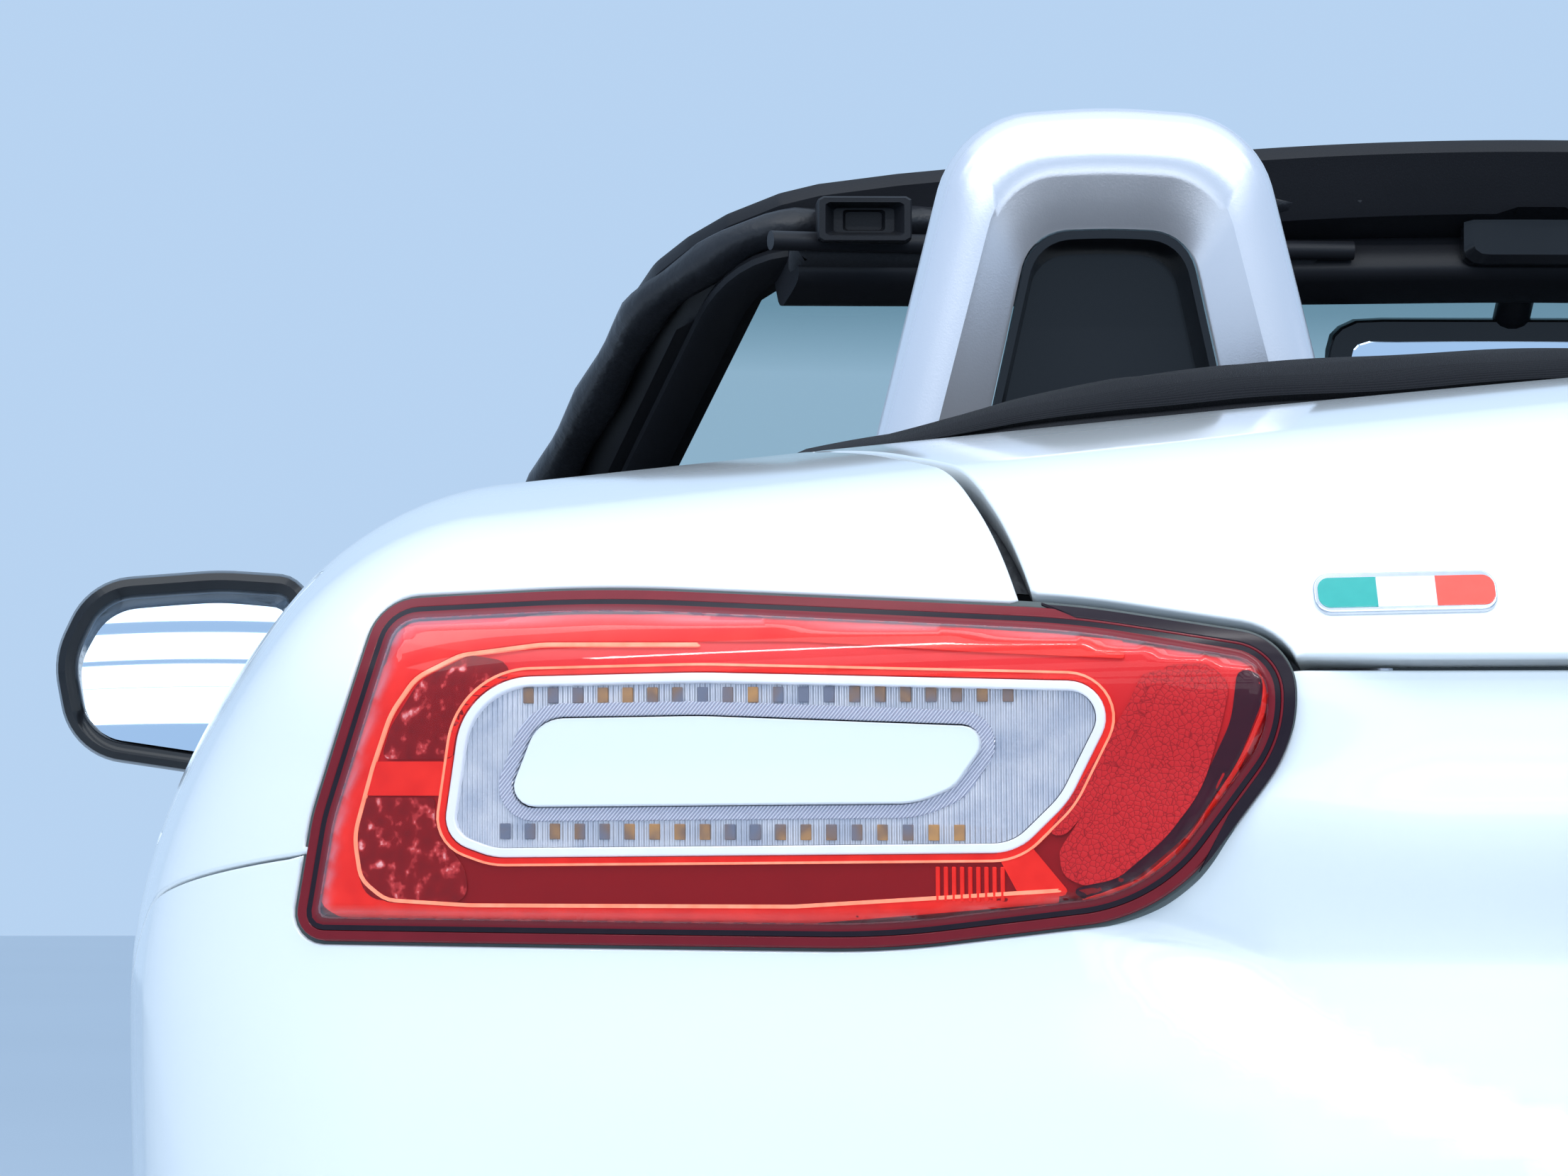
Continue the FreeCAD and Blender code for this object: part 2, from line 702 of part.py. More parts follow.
keep("number_plate", plate.cut(plate_hole).cut(mirrored(plate_hole)))


# Boot lid: top and rear face in one panel, hinged at its front edge
def lid_point(share, x, low_z, front_y):
    centre = (x, 1560.0, 640.0)

    def at(angle):
        return hit(centre, (0.0, math.cos(angle), math.sin(angle)), 900.0)

    def find(test):
        a, b = 0.0, math.pi
        for _ in range(22):
            mid = 0.5 * (a + b)
            if test(at(mid)):
                a = mid
            else:
                b = mid
        return a

    first = find(lambda p: p[2] < low_z)
    last = find(lambda p: p[1] > front_y)
    return at(first + (last - first) * share)


lid_grid = [lambda t, x: lid_point(t, x, crease_z - 16, lid_front_y), steps(0, 1, 16), steps(-560, 560, 15)]
lid = skin(*lid_grid, skin_wall).cut(box(-600, 600, 1500, 2200, 600, crease_z))
lid_stop = skin(*lid_grid, 200.0 + skin_wall + seat_gap, -200.0)
lid_plan = [(-x, y, r) for x, y, r in lid_edge] + lid_edge[::-1]
lid = lid.common(prism(grown(lid_plan, -moving_gap), "Z", 100, 1300))
lid_clear = prism(grown(lamp_corners, moving_gap), "Y", 1500, 2200)
keep("boot_lid", lid.cut(lid_clear).cut(mirrored(lid_clear)))

# Rear deck between folded roof and boot lid, and the gutter below the lid
deck_plan = prism(grown(lid_plan, -fixed_gap), "Z", 100, 1300)
deck = skin(top, steps(-545, 545, 11), steps(deck_front_y, lid_front_y - moving_gap, 4), skin_wall)
keep("rear_deck", deck.common(deck_plan))
gutter = skin(
    lambda t, x: lid_point(t, x, crease_z + 30, lid_front_y - 40), steps(0, 1, 12), steps(-556, 556, 11), 10.0,
    skin_wall + 2.0,
)
opening = [(-500, 1290, 50), (500, 1290, 50), (440, 1800, 60), (-440, 1800, 60)]
gutter = gutter.cut(prism(opening, "Z", 600, 1300)).cut(lid_clear).cut(mirrored(lid_clear))
gutter = gutter.cut(quarter_clear).cut(mirrored(quarter_clear)).cut(lid_stop)
keep("boot_gutter", gutter)

# Tail lamps: housing behind, then lens, clear ring and painted island side by side
lamp_skin = [lambda turn, z: polar(1200.0, turn, z), steps(10, 62, 9), steps(676, 860, 6)]
lens = skin(*lamp_skin, lens_wall, -lamp_proud).common(prism(lamp_corners, "Y", 1500, 2200))
cover = skin(*lamp_skin, 150.0, lens_wall - lamp_proud + seat_gap - 150.0)
housing = prism(lamp_corners, "Y", 1730, 2030).cut(cover)
housing = housing.cut(box(0, rear_wall_x + seat_gap, 1700, boot_rear_y + panel_wall + seat_gap, 600, 900))
ring = lens.common(prism(ring_corners, "Y", 1500, 2200))
island = ring.common(prism(island_corners, "Y", 1500, 2200))
ring = ring.cut(prism(grown(island_corners, 0.3), "Y", 1500, 2200))
lens = lens.cut(prism(grown(ring_corners, 0.3), "Y", 1500, 2200))
keep("tail_lamp_lenses", both(lens))
keep("tail_lamp_rings", both(ring))
keep("tail_lamp_islands", both(island))
housing = min(housing.Solids, key=lambda solid: solid.CenterOfMass.y)
keep("tail_lamp_housings", both(housing))

# Folded roof behind the hoops
stack = skin(top, steps(-534, 534, 11), steps(cockpit_rear_y - 10, deck_front_y - fixed_gap, 5), 90.0, -7.0)
keep("folded_roof", stack)

# Shelf that carries the hoops
shelf_z = bulkhead_top_z + seat_gap
hoop_y = (880.0, 962.0)
shelf = box(-650, 650, 800, cockpit_rear_y - 10.4, shelf_z, shelf_z + 16)
keep("rear_shelf", shelf)

# Roll hoops. Columns are x, z and corner radius
hoop_x = 352.0
hoop_outer = [(-168, 817, 2), (-96, 1128, 74), (96, 1128, 74), (168, 817, 2)]
hoop_inner = [(-92, 817, 2), (-46, 1060, 30), (46, 1060, 30), (92, 817, 2)]


def hoop_at(x):
    outer = prism([(x + a, b, r) for a, b, r in hoop_outer], "Y", *hoop_y)
    return outer.cut(prism([(x + a, b, r) for a, b, r in hoop_inner], "Y", hoop_y[0] - 5, hoop_y[1] + 5))


keep("roll_hoops", both(hoop_at(hoop_x)))
pad = [(hoop_x + a * 0.99, b - seat_gap, r) for a, b, r in hoop_inner]
keep("hoop_fillers", both(prism(pad, "Y", hoop_y[0] + 10, hoop_y[1] - 14)))

# Windscreen: glass in a black frame, on a surface bowed across the car
screen_base = (-596.0, 898.0)
screen_head = (48.0, 1182.0)
screen_bow = 120.0
screen_wall = 44.0


def screen_point(x, t):
    y = screen_base[0] + (screen_head[0] - screen_base[0]) * t + screen_bow * (x / 700.0) ** 2
    z = screen_base[1] + (screen_head[1] - screen_base[1]) * t - 14.0 * (x / 560.0) ** 2
    return [x, y, z]


def screen_block(low, high):
    """Slab along the windscreen, between two offsets measured square to it."""
    slope = math.atan2(screen_head[1] - screen_base[1], screen_head[0] - screen_base[0])
    out = (0.0, -math.sin(slope), math.cos(slope))
    points = grid(screen_point, steps(-760, 760, 13), steps(-0.02, 1.06, 5))

    def moved(by):
        return [[[c + by * o for c, o in zip(p, out)] for p in row] for row in points]

    return block(moved(high), moved(low))


frame_outer = [(-716, 893, 8), (-560, 1190, 96), (0, 1196, 4000), (560, 1190, 96), (716, 893, 8)]
frame_inner = [(-640, 925, 30), (-524, 1118, 60), (524, 1118, 60), (640, 925, 30)]
screen_frame = screen_block(-screen_wall, 0).common(prism(frame_outer, "Y", -900, 500))
screen_frame = screen_frame.cut(prism(frame_inner, "Y", -900, 500))
cowl_grid = [top, cowl_xs, steps(door_front_y - 20, -300, 8)]
cowl_top = skin(*cowl_grid, 60.0, -seat_gap)
cowl_cover = skin(*cowl_grid, 200.0 + skin_wall + seat_gap, -200.0)
screen_frame = screen_frame.cut(cowl_top)
keep("windscreen_frame", screen_frame)
glass = screen_block(-8, -3).common(prism(grown(frame_inner, -0.3), "Y", -900, 500))
keep("windscreen", glass.cut(cowl_top))

# Sun visors and mirror, hung below the windscreen's head rail
visor_outline = [(136, 1046, 30), (500, 1046, 30), (500, 1134, 12), (136, 1134, 12)]
visor = screen_block(-screen_wall - seat_gap - 18, -screen_wall - seat_gap)
visor = visor.common(prism(visor_outline, "Y", -300, 300))
keep("sun_visors", both(visor))
header_z = frame_inner[1][1] - seat_gap
cabin_mirror = box(-128, 128, -74, -48, 1008, 1072).fuse(box(-14, 14, -60, -30, 1040, header_z))
keep("cabin_mirror", cabin_mirror.removeSplitter())

# Cabin: dashboard, console, seats, steering wheel
dash_outline = [
    (-640, 560, 10), (-640, 840, 20), (-560, 872, 30), (-330, 850, 40), (-300, 760, 40), (-360, 560, 30),
]
dash = prism(dash_outline, "X", -720, 720)
dash = dash.cut(cowl_cover)
console = box(-100, 100, -500, 700, tunnel_top_z + seat_gap, 440).cut(dash)
keep("centre_console", console)
cushion = [(-118, 232, 30), (-132, 318, 46), (20, 306, 300), (300, 262, 40), (312, 232, 10)]
squab = [
    (292, 240, 30), (246, 330, 60), (380, 690, 300), (400, 760, 40), (470, 760, 40), (462, 620, 200),
    (392, 240, 30),
]
headrest = [(404, 784, 30), (424, 962, 34), (486, 968, 34), (478, 784, 26)]
seat = joined(
    prism(cushion, "X", 158, 612),
    prism(squab, "X", 166, 604),
    prism(headrest, "X", 262, 508),
    box(330, 348, 430, 446, 740, 800),
    box(422, 440, 430, 446, 740, 800),
    box(190, 230, -60, 340, floor_top_z + seat_gap, 250),
    box(540, 580, -60, 340, floor_top_z + seat_gap, 250),
)
keep("seat_left", seat)
keep("seat_right", mirrored(seat))

# Steering wheel on its column
wheel_centre = V(370, -206, 690)
tilt = math.radians(24)
column_axis = V(0, math.cos(tilt), math.sin(tilt))
rim = Part.makeTorus(176, 15, wheel_centre, column_axis)
hub = Part.makeCylinder(58, 34, wheel_centre - column_axis * 30, column_axis)
spokes = [
    Part.makeBox(340, 30, 12, V(-170, -15, -6)),
    Part.makeBox(30, 170, 12, V(-15, -170, -6)),
]
turned = FreeCAD.Placement(wheel_centre - column_axis * 6, FreeCAD.Rotation(V(0, 0, 1), column_axis))
for spoke in spokes:
    spoke.Placement = turned
steering = joined(rim, hub, *spokes)
keep("steering_wheel", steering)
column = Part.makeCylinder(26, 200, wheel_centre - column_axis * (30 + seat_gap), column_axis * -1)
keep("dashboard", joined(dash, column))

# Door mirrors
mirror_outline = [
    (852, 800, 20), (880, 892, 50), (960, 902, 60), (1004, 840, 40), (950, 766, 50), (880, 764, 40),
]
mirror_case = prism(mirror_outline, "Y", -400, -310)
mirror_foot = box(800, 900, -380, -340, 800, 830)
mirror_foot = mirror_foot.cut(door)
mirror = joined(mirror_case, mirror_foot)
keep("door_left_mirror", mirror.cut(door))
keep("door_right_mirror", mirrored(mirror.cut(door)))

# Wheels: tyre, wheel disc with hub, and what carries them
hub_bore = 21.0
stub_radius = hub_bore - 0.05
wheel_x = track_half


def around(outline, y):
    """Turned solid about a wheel's axle. Columns are place along the axle, distance from it and corner radius."""
    solid = Part.Face(rounded(outline)).revolve(V(0, 0, 0), V(1, 0, 0), 360)
    solid.translate(V(0, y, tyre_radius))
    return solid


def tyre_at(y):
    half = tyre_width / 2
    outline = [
        (wheel_x - half + 8, rim_radius + 4, 8), (wheel_x - half, 262, 30),
        (wheel_x - half + 6, tyre_radius, 22), (wheel_x + half - 6, tyre_radius, 22),
        (wheel_x + half, 262, 30), (wheel_x + half - 8, rim_radius + 4, 8),
    ]
    return around(outline, y)


def wheel_at(y):
    half = tyre_width / 2
    x_in, x_out = wheel_x - half + 12, wheel_x + half - 12
    wall = 10.0
    barrel = [
        (x_in, rim_radius + 3.6, 2), (x_in, rim_radius - wall, 2), (x_out, rim_radius - wall, 2),
        (x_out, rim_radius + 3.6, 2),
    ]
    whole = around(barrel, y)
    disc = [(x_out - 40, hub_bore, 1), (x_out - 40, 78, 4), (x_out - 14, 78, 8), (x_out - 14, hub_bore, 1)]
    whole = whole.fuse(around(disc, y))
    for k in range(5):
        for lean in (-9.0, 9.0):
            spoke = Part.makeBox(20, 22, rim_radius - 60, V(x_out - 34, -11, 58))
            spoke.rotate(V(0, 0, 0), V(1, 0, 0), 72 * k + lean)
            spoke.translate(V(0, y, tyre_radius))
            whole = whole.fuse(spoke)
    brake = [(x_out - 60, hub_bore, 1), (x_out - 60, 140, 2), (x_out - 40, 140, 2), (x_out - 40, hub_bore, 1)]
    cap = across(30, y, tyre_radius, x_out - 14, x_out - 8)
    return whole.fuse(around(brake, y)).fuse(cap).removeSplitter()


wheel_names = [
    ("front_left", front_axle_y, 1), ("front_right", front_axle_y, -1),
    ("rear_left", rear_axle_y, 1), ("rear_right", rear_axle_y, -1),
]
for name, y, hand in wheel_names:
    tyre, wheel = tyre_at(y), wheel_at(y)
    keep("tyre_" + name, tyre if hand > 0 else mirrored(tyre))
    keep("wheel_" + name, wheel if hand > 0 else mirrored(wheel))

# Steered knuckles with their stub axles, and the arms that hold them
kingpin_x = 668.0
stub_end_x = wheel_x + tyre_width / 2 - 30
knuckle = joined(
    box(kingpin_x - 18, kingpin_x + 18, front_axle_y - 34, front_axle_y + 34, cross_z + 0.6, 440),
    across(34, front_axle_y, tyre_radius, kingpin_x, kingpin_x + 50),
    across(stub_radius, front_axle_y, tyre_radius, kingpin_x, stub_end_x),
)
keep("knuckle_left", knuckle)
keep("knuckle_right", mirrored(knuckle))
arm_plan = [
    (300, front_axle_y - 130, 20), (690, front_axle_y - 26, 20), (690, front_axle_y + 26, 20),
    (300, front_axle_y + 130, 20),
]
upper_plan = [
    (apron_x + seat_gap, front_axle_y - 60, 4), (690, front_axle_y - 22, 14),
    (690, front_axle_y + 22, 14), (apron_x + seat_gap, front_axle_y + 60, 4),
]
arms = [prism(arm_plan, "Z", arm_z, arm_z + arm_wall), prism(upper_plan, "Z", 440 + seat_gap, 456)]
keep("front_arms", both(Part.makeCompound(arms)))
rear_axle = joined(
    box(-170, 170, rear_axle_y - 60, rear_axle_y + 90, 230, boot_floor_z - seat_gap),
    across(17, rear_axle_y, tyre_radius, 150, 680),
    box(640, 684, rear_axle_y - 40, rear_axle_y + 40, 226, 400),
    across(stub_radius, rear_axle_y, tyre_radius, 640, stub_end_x),
    box(150, 660, rear_axle_y - 30, rear_axle_y + 30, 228, 248),
)
keep("rear_axle", joined(rear_axle, mirrored(rear_axle)))

# Exhaust: silencer across the tail with two outlets, and the pipe that joins them
pipe = joined(
    box(-430, 430, 1560, 1780, 262, boot_floor_z - seat_gap),
    Part.makeCylinder(36, 250, V(outlet_x, 1760, 300), V(0, 1, 0)),
    Part.makeCylinder(36, 250, V(-outlet_x, 1760, 300), V(0, 1, 0)),
)
keep("exhaust", pipe)
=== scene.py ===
import bpy
import math
import numpy as np
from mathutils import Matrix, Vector
from mathutils.geometry import delaunay_2d_cdt


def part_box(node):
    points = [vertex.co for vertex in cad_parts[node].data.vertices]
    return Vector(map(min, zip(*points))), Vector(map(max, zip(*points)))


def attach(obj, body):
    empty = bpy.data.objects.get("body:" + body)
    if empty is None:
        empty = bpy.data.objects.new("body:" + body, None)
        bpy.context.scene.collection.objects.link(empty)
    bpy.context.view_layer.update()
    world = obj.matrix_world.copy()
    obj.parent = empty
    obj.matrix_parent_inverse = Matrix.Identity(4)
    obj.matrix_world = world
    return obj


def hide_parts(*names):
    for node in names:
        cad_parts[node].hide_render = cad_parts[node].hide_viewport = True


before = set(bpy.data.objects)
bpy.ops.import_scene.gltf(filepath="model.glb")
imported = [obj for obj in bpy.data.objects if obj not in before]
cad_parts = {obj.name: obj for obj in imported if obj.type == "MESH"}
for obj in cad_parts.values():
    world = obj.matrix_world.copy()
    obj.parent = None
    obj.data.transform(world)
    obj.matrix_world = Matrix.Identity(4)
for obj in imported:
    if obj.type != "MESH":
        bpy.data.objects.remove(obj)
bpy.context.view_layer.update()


# Body paint. Pressed steel and plastic panels in white with a clear coat over it. The white is slightly
# mottled by the primer below, and the coat has a faint orange peel.
class Socket:
    """An output of a material's nodes. Arithmetic on it adds Math nodes."""

    def __init__(self, finish, socket):
        self.finish, self.socket = finish, socket

    def maths(self, operation, *values):
        return self.finish.add("Math", {"operation": operation}, dict(enumerate(values)))

    def __add__(self, other):
        return self.maths("ADD", self, other)

    def __sub__(self, other):
        return self.maths("SUBTRACT", self, other)

    def __mul__(self, other):
        return self.maths("MULTIPLY", self, other)

    __radd__, __rmul__ = __add__, __mul__


class Finish:
    """A material being put together from nodes."""

    def __init__(self, name):
        self.material = bpy.data.materials.new(name)
        self.material.use_nodes = True
        self.tree = self.material.node_tree
        self.tree.nodes.clear()

    def add(self, kind, settings=None, inputs=None, output=0):
        """Adds a node: its settings first, then the values or links of its inputs. Returns one output."""
        node = self.tree.nodes.new("ShaderNode" + kind)
        for key, value in (settings or {}).items():
            if key == "stops":
                ramp = node.color_ramp
                while len(ramp.elements) < len(value):
                    ramp.elements.new(1.0)
                for element, (place, colour) in zip(ramp.elements, value):
                    element.position = place
                    element.color = (*colour, 1.0)
            else:
                setattr(node, key, value)
        for key, value in (inputs or {}).items():
            if isinstance(value, Socket):
                self.tree.links.new(value.socket, node.inputs[key])
            elif isinstance(value, tuple) and len(value) == 3 and node.inputs[key].type == "RGBA":
                node.inputs[key].default_value = (*value, 1.0)
            else:
                node.inputs[key].default_value = value
        return Socket(self, node.outputs[output]) if node.outputs else None

    def mix(self, share, first, second):
        """Colour between two colours."""
        return self.add("Mix", {"data_type": "RGBA"}, {0: share, 6: first, 7: second}, 2)

    def ramp(self, share, *stops):
        """Colour along a row of (place, colour) stops."""
        return self.add("ValToRGB", {"stops": stops}, {0: share})

    def place(self, axis=None):
        """Where a point lies on its object, in metres, or how far along one axis."""
        where = self.add("TexCoord", output=3)
        return where if axis is None else self.add("SeparateXYZ", {}, {0: where}, axis)

    def noise(self, scale, detail=2.0):
        """Soft random pattern, from 0 to 1. The scale is in patches per metre."""
        return self.add("TexNoise", {}, {"Vector": self.place(), "Scale": scale, "Detail": detail})

    def cells(self, scale):
        """Distance to the edges of random cells."""
        return self.add("TexVoronoi", {"feature": "DISTANCE_TO_EDGE"},
                        {"Vector": self.place(), "Scale": scale})

    def waves(self, distance, length):
        """Sine waves, their length in metres."""
        return distance.maths("SINE", distance * (2 * math.pi / length))

    def bump(self, height, distance):
        return self.add("Bump", {}, {"Height": height, "Distance": distance, "Strength": 1.0})

    def done(self, **inputs):
        """Ends the material in a Principled shader. Input names are written with _ for a space."""
        named = {key.replace("_", " "): value for key, value in inputs.items()}
        return self.ended(self.add("BsdfPrincipled", {}, named))

    def glass(self, tint, shine, roughness, least, more, power):
        """Ends the material as clear glass, which mirrors more the flatter it is looked at."""
        edge_on = self.add("LayerWeight", {}, {"Blend": 0.5}, 1)
        share = least + more * edge_on.maths("POWER", edge_on, power)
        through = self.add("BsdfTransparent", {}, {"Color": tint})
        reflection = self.add("BsdfGlossy", {}, {"Color": shine, "Roughness": roughness})
        return self.ended(self.add("MixShader", {}, {0: share, 1: through, 2: reflection}))

    def ended(self, shader):
        self.add("OutputMaterial", {}, {"Surface": shader})
        return self.material


def mottled(name, scale, detail, first, second, grain=None, **inputs):
    """A material that wanders between two colours. Its grain is a bump: scale, detail and height in metres.
    An input may be a function of the finish."""
    finish = Finish(name)
    inputs = {key: value(finish) if callable(value) else value for key, value in inputs.items()}
    if grain:
        inputs["Normal"] = finish.bump(finish.noise(*grain[:2]), grain[2])
    return finish.done(Base_Color=finish.mix(finish.noise(scale, detail), first, second), **inputs)


paint = mottled(
    "paint", 3.0, 3.0, (0.80, 0.83, 0.84), (0.84, 0.87, 0.875), grain=(420.0, 1.0, 0.00002),
    Roughness=0.34, Coat_Weight=1.0, Coat_Roughness=0.09, Coat_IOR=1.5,
)


# The outer form that all painted panels share, in millimetres: sections along the car, rounded into the bowed
# ends. Panels are sheets that lie on it, with their edges rolled over and turned in as flanges.
sections = np.array([
    (-2300, 800, 520, 500, 0.0016), (-2026, 825, 640, 610, 0.0016), (-1850, 842, 735, 705, 0.0016),
    (-1600, 858, 800, 784, 0.0016), (-1190, 868, 862, 850, 0.0016), (-900, 858, 890, 868, 0.0013),
    (-640, 848, 912, 886, 0.0011), (-200, 842, 925, 896, 0.0010), (300, 846, 935, 902, 0.0012),
    (700, 860, 953, 909, 0.0017), (1120, 870, 971, 914, 0.0020), (1400, 868, 969, 903, 0.0020),
    (1650, 850, 959, 883, 0.0020), (1850, 822, 938, 858, 0.0018), (2300, 760, 880, 790, 0.0016),
])
ends = np.array([
    (100, 110, 150), (170, 62, 84), (250, 16, 30), (350, 0, 6), (450, 2, 0), (550, 16, 8), (620, 42, 20),
    (690, 96, 36), (760, 190, 46), (816, 300, 54), (850, 380, 78), (885, 470, 108), (930, 590, 152),
    (1000, 800, 230),
])


def curve(rows, column, at):
    """Column of a table at the given places, smoothly interpolated between its rows."""
    x, value = rows[:, 0], rows[:, column]
    rate = np.diff(value) / np.diff(x)
    slope = np.concatenate([[0.0], 0.5 * (rate[1:] + rate[:-1]), [0.0]])
    at = np.clip(at, x[0], x[-1])
    k = np.clip(np.searchsorted(x, at) - 1, 0, len(x) - 2)
    step = x[k + 1] - x[k]
    t = (at - x[k]) / step
    return (
        value[k] * (1 + 2 * t) * (1 - t) ** 2 + value[k + 1] * t * t * (3 - 2 * t)
        + step * (slope[k] * t * (1 - t) ** 2 - slope[k + 1] * t * t * (1 - t))
    )


def soft_max(a, b, blend):
    """The larger of two distances, with the corner between them rounded."""
    over = np.maximum(blend - np.abs(a - b), 0.0)
    return np.maximum(a, b) + over * over / (4 * blend)


widest_z = 650


def outside(p):
    """Distance outside the outer form, negative inside."""
    x, y, z = np.abs(p[..., 0]), p[..., 1], p[..., 2]
    lean = np.where(z > widest_z, curve(sections, 4, y), 0.00022)
    side = x - (curve(sections, 1, y) - lean * (z - widest_z) ** 2)
    centre, wing = curve(sections, 2, y), curve(sections, 3, y)
    body = soft_max(side, z - (centre - (centre - wing) * (x / 690) ** 1.25), 46.0)
    tail = y - (2022 - x * x / 2700 - curve(ends, 2, z))
    nose = -2026 + x * x / 2600 + curve(ends, 1, z) - y
    return soft_max(body, np.where(y > 0, tail, nose), 90.0)


def hit(origin, way, level=0.0):
    """Where rays from inside leave the outer form, or the form swelled by a level."""
    origin, way = np.broadcast_arrays(np.asarray(origin, float), np.asarray(way, float))
    near, far = np.zeros(origin.shape[:-1]), np.full(origin.shape[:-1], 1500.0)
    for _ in range(28):
        middle = 0.5 * (near + far)
        inside = outside(origin + middle[..., None] * way) < level
        near, far = np.where(inside, middle, near), np.where(inside, far, middle)
    return origin + near[..., None] * way


def unit(v):
    """Directions of vectors."""
    return v / np.linalg.norm(v, axis=-1, keepdims=True)


def form_normal(p):
    return unit(np.stack([outside(p + step) - outside(p - step) for step in np.eye(3)], -1))


def places(*columns):
    """Points from their columns. A single number holds for all of them."""
    return np.stack(np.broadcast_arrays(*[np.asarray(column, float) for column in columns]), -1)


def on_side(y, z):
    """Points of the outer form seen from the car's left."""
    return hit(places(0, y, z), (1.0, 0.0, 0.0))


def on_top(x, y):
    """Points of the outer form seen from above."""
    return hit(places(x, y, 400), (0.0, 0.0, 1.0))


def on_tail(x, z, level=0.0):
    """Points of the outer form, or of the form swelled by a level, seen from behind."""
    return hit(places(x, 1100, z), (0.0, 1.0, 0.0), level)


def rounded(corners, pitch=3.0):
    """Closed outline through corners of (a, b, radius), as points about a pitch apart."""
    corners = np.array(corners, float)
    found = []
    for k, (a, b, radius) in enumerate(corners):
        p = np.array((a, b))
        before, after = corners[k - 1, :2] - p, corners[(k + 1) % len(corners), :2] - p
        reach = [np.linalg.norm(before), np.linalg.norm(after)]
        before, after = before / reach[0], after / reach[1]
        half = 0.5 * math.acos(np.clip(before @ after, -1, 1))
        trim = min(radius / math.tan(half), 0.49 * reach[0], 0.49 * reach[1])
        if trim < 0.05:
            found.append(p[None])
            continue
        radius = trim * math.tan(half)
        middle = before + after
        centre = p + middle / np.linalg.norm(middle) * radius / math.sin(half)
        start, end = p + before * trim - centre, p + after * trim - centre
        swing = math.pi - 2 * half
        turn = math.copysign(swing, start[0] * end[1] - start[1] * end[0])
        t = np.linspace(0, turn, max(4, int(abs(turn) * radius / pitch) + 2))
        c, s = np.cos(t), np.sin(t)
        found.append(centre + np.stack([start[0] * c - start[1] * s, start[0] * s + start[1] * c], -1))
    return spaced(np.concatenate(found), pitch)


def rectangle(a0, b0, a1, b1, radius, pitch=3.0):
    """Closed outline of a rectangle with round corners."""
    return rounded([(a0, b0, radius), (a1, b0, radius), (a1, b1, radius), (a0, b1, radius)], pitch)


def spaced(points, pitch):
    """Adds points to the longer runs of a closed line until none is longer than about the pitch."""
    out = []
    for p, q in zip(points, np.roll(points, -1, 0)):
        count = max(1, int(np.linalg.norm(q - p) / pitch + 0.5))
        out.append(p + (q - p) * (np.arange(count) / count)[:, None])
    return np.concatenate(out)


def way_round(loop):
    """1 for an outline that runs anticlockwise, -1 for one that runs clockwise."""
    following = np.roll(loop, -1, 0)
    return math.copysign(1.0, np.sum(loop[:, 0] * following[:, 1] - following[:, 0] * loop[:, 1]))


def within(points, loops):
    """Which flat points lie inside an outline, and not in its holes."""
    inside = np.zeros(len(points), bool)
    for loop in loops:
        a, b = loop, np.roll(loop, -1, 0)
        for (ax, ay), (bx, by) in zip(a, b):
            if ay == by:
                continue
            crosses = ((ay > points[:, 1]) != (by > points[:, 1]))
            crosses &= points[:, 0] < (bx - ax) * (points[:, 1] - ay) / (by - ay) + ax
            inside ^= crosses
    return inside


def piece(name, part, material, slot, *nodes, body="body", shaded=False, sharp=38.0):
    """Makes a piece from a part's points in millimetres and its faces, and lets it ride on a body in place of
    CAD nodes. A shaded piece also takes the part's normals."""
    mesh = bpy.data.meshes.new(name)
    mesh.from_pydata((np.asarray(part[0]) * 0.001).tolist(), [], part[1])
    mesh.validate()
    mesh.update()
    mesh.polygons.foreach_set("use_smooth", [True] * len(mesh.polygons))
    mesh.set_sharp_from_angle(angle=math.radians(sharp))
    if shaded:
        mesh.normals_split_custom_set_from_vertices(np.asarray(part[2]).tolist())
    made = bpy.data.objects.new(name, mesh)
    bpy.context.scene.collection.objects.link(made)
    mesh.materials.append(material)
    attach(made, body)
    if nodes:
        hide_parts(*nodes)
    return made


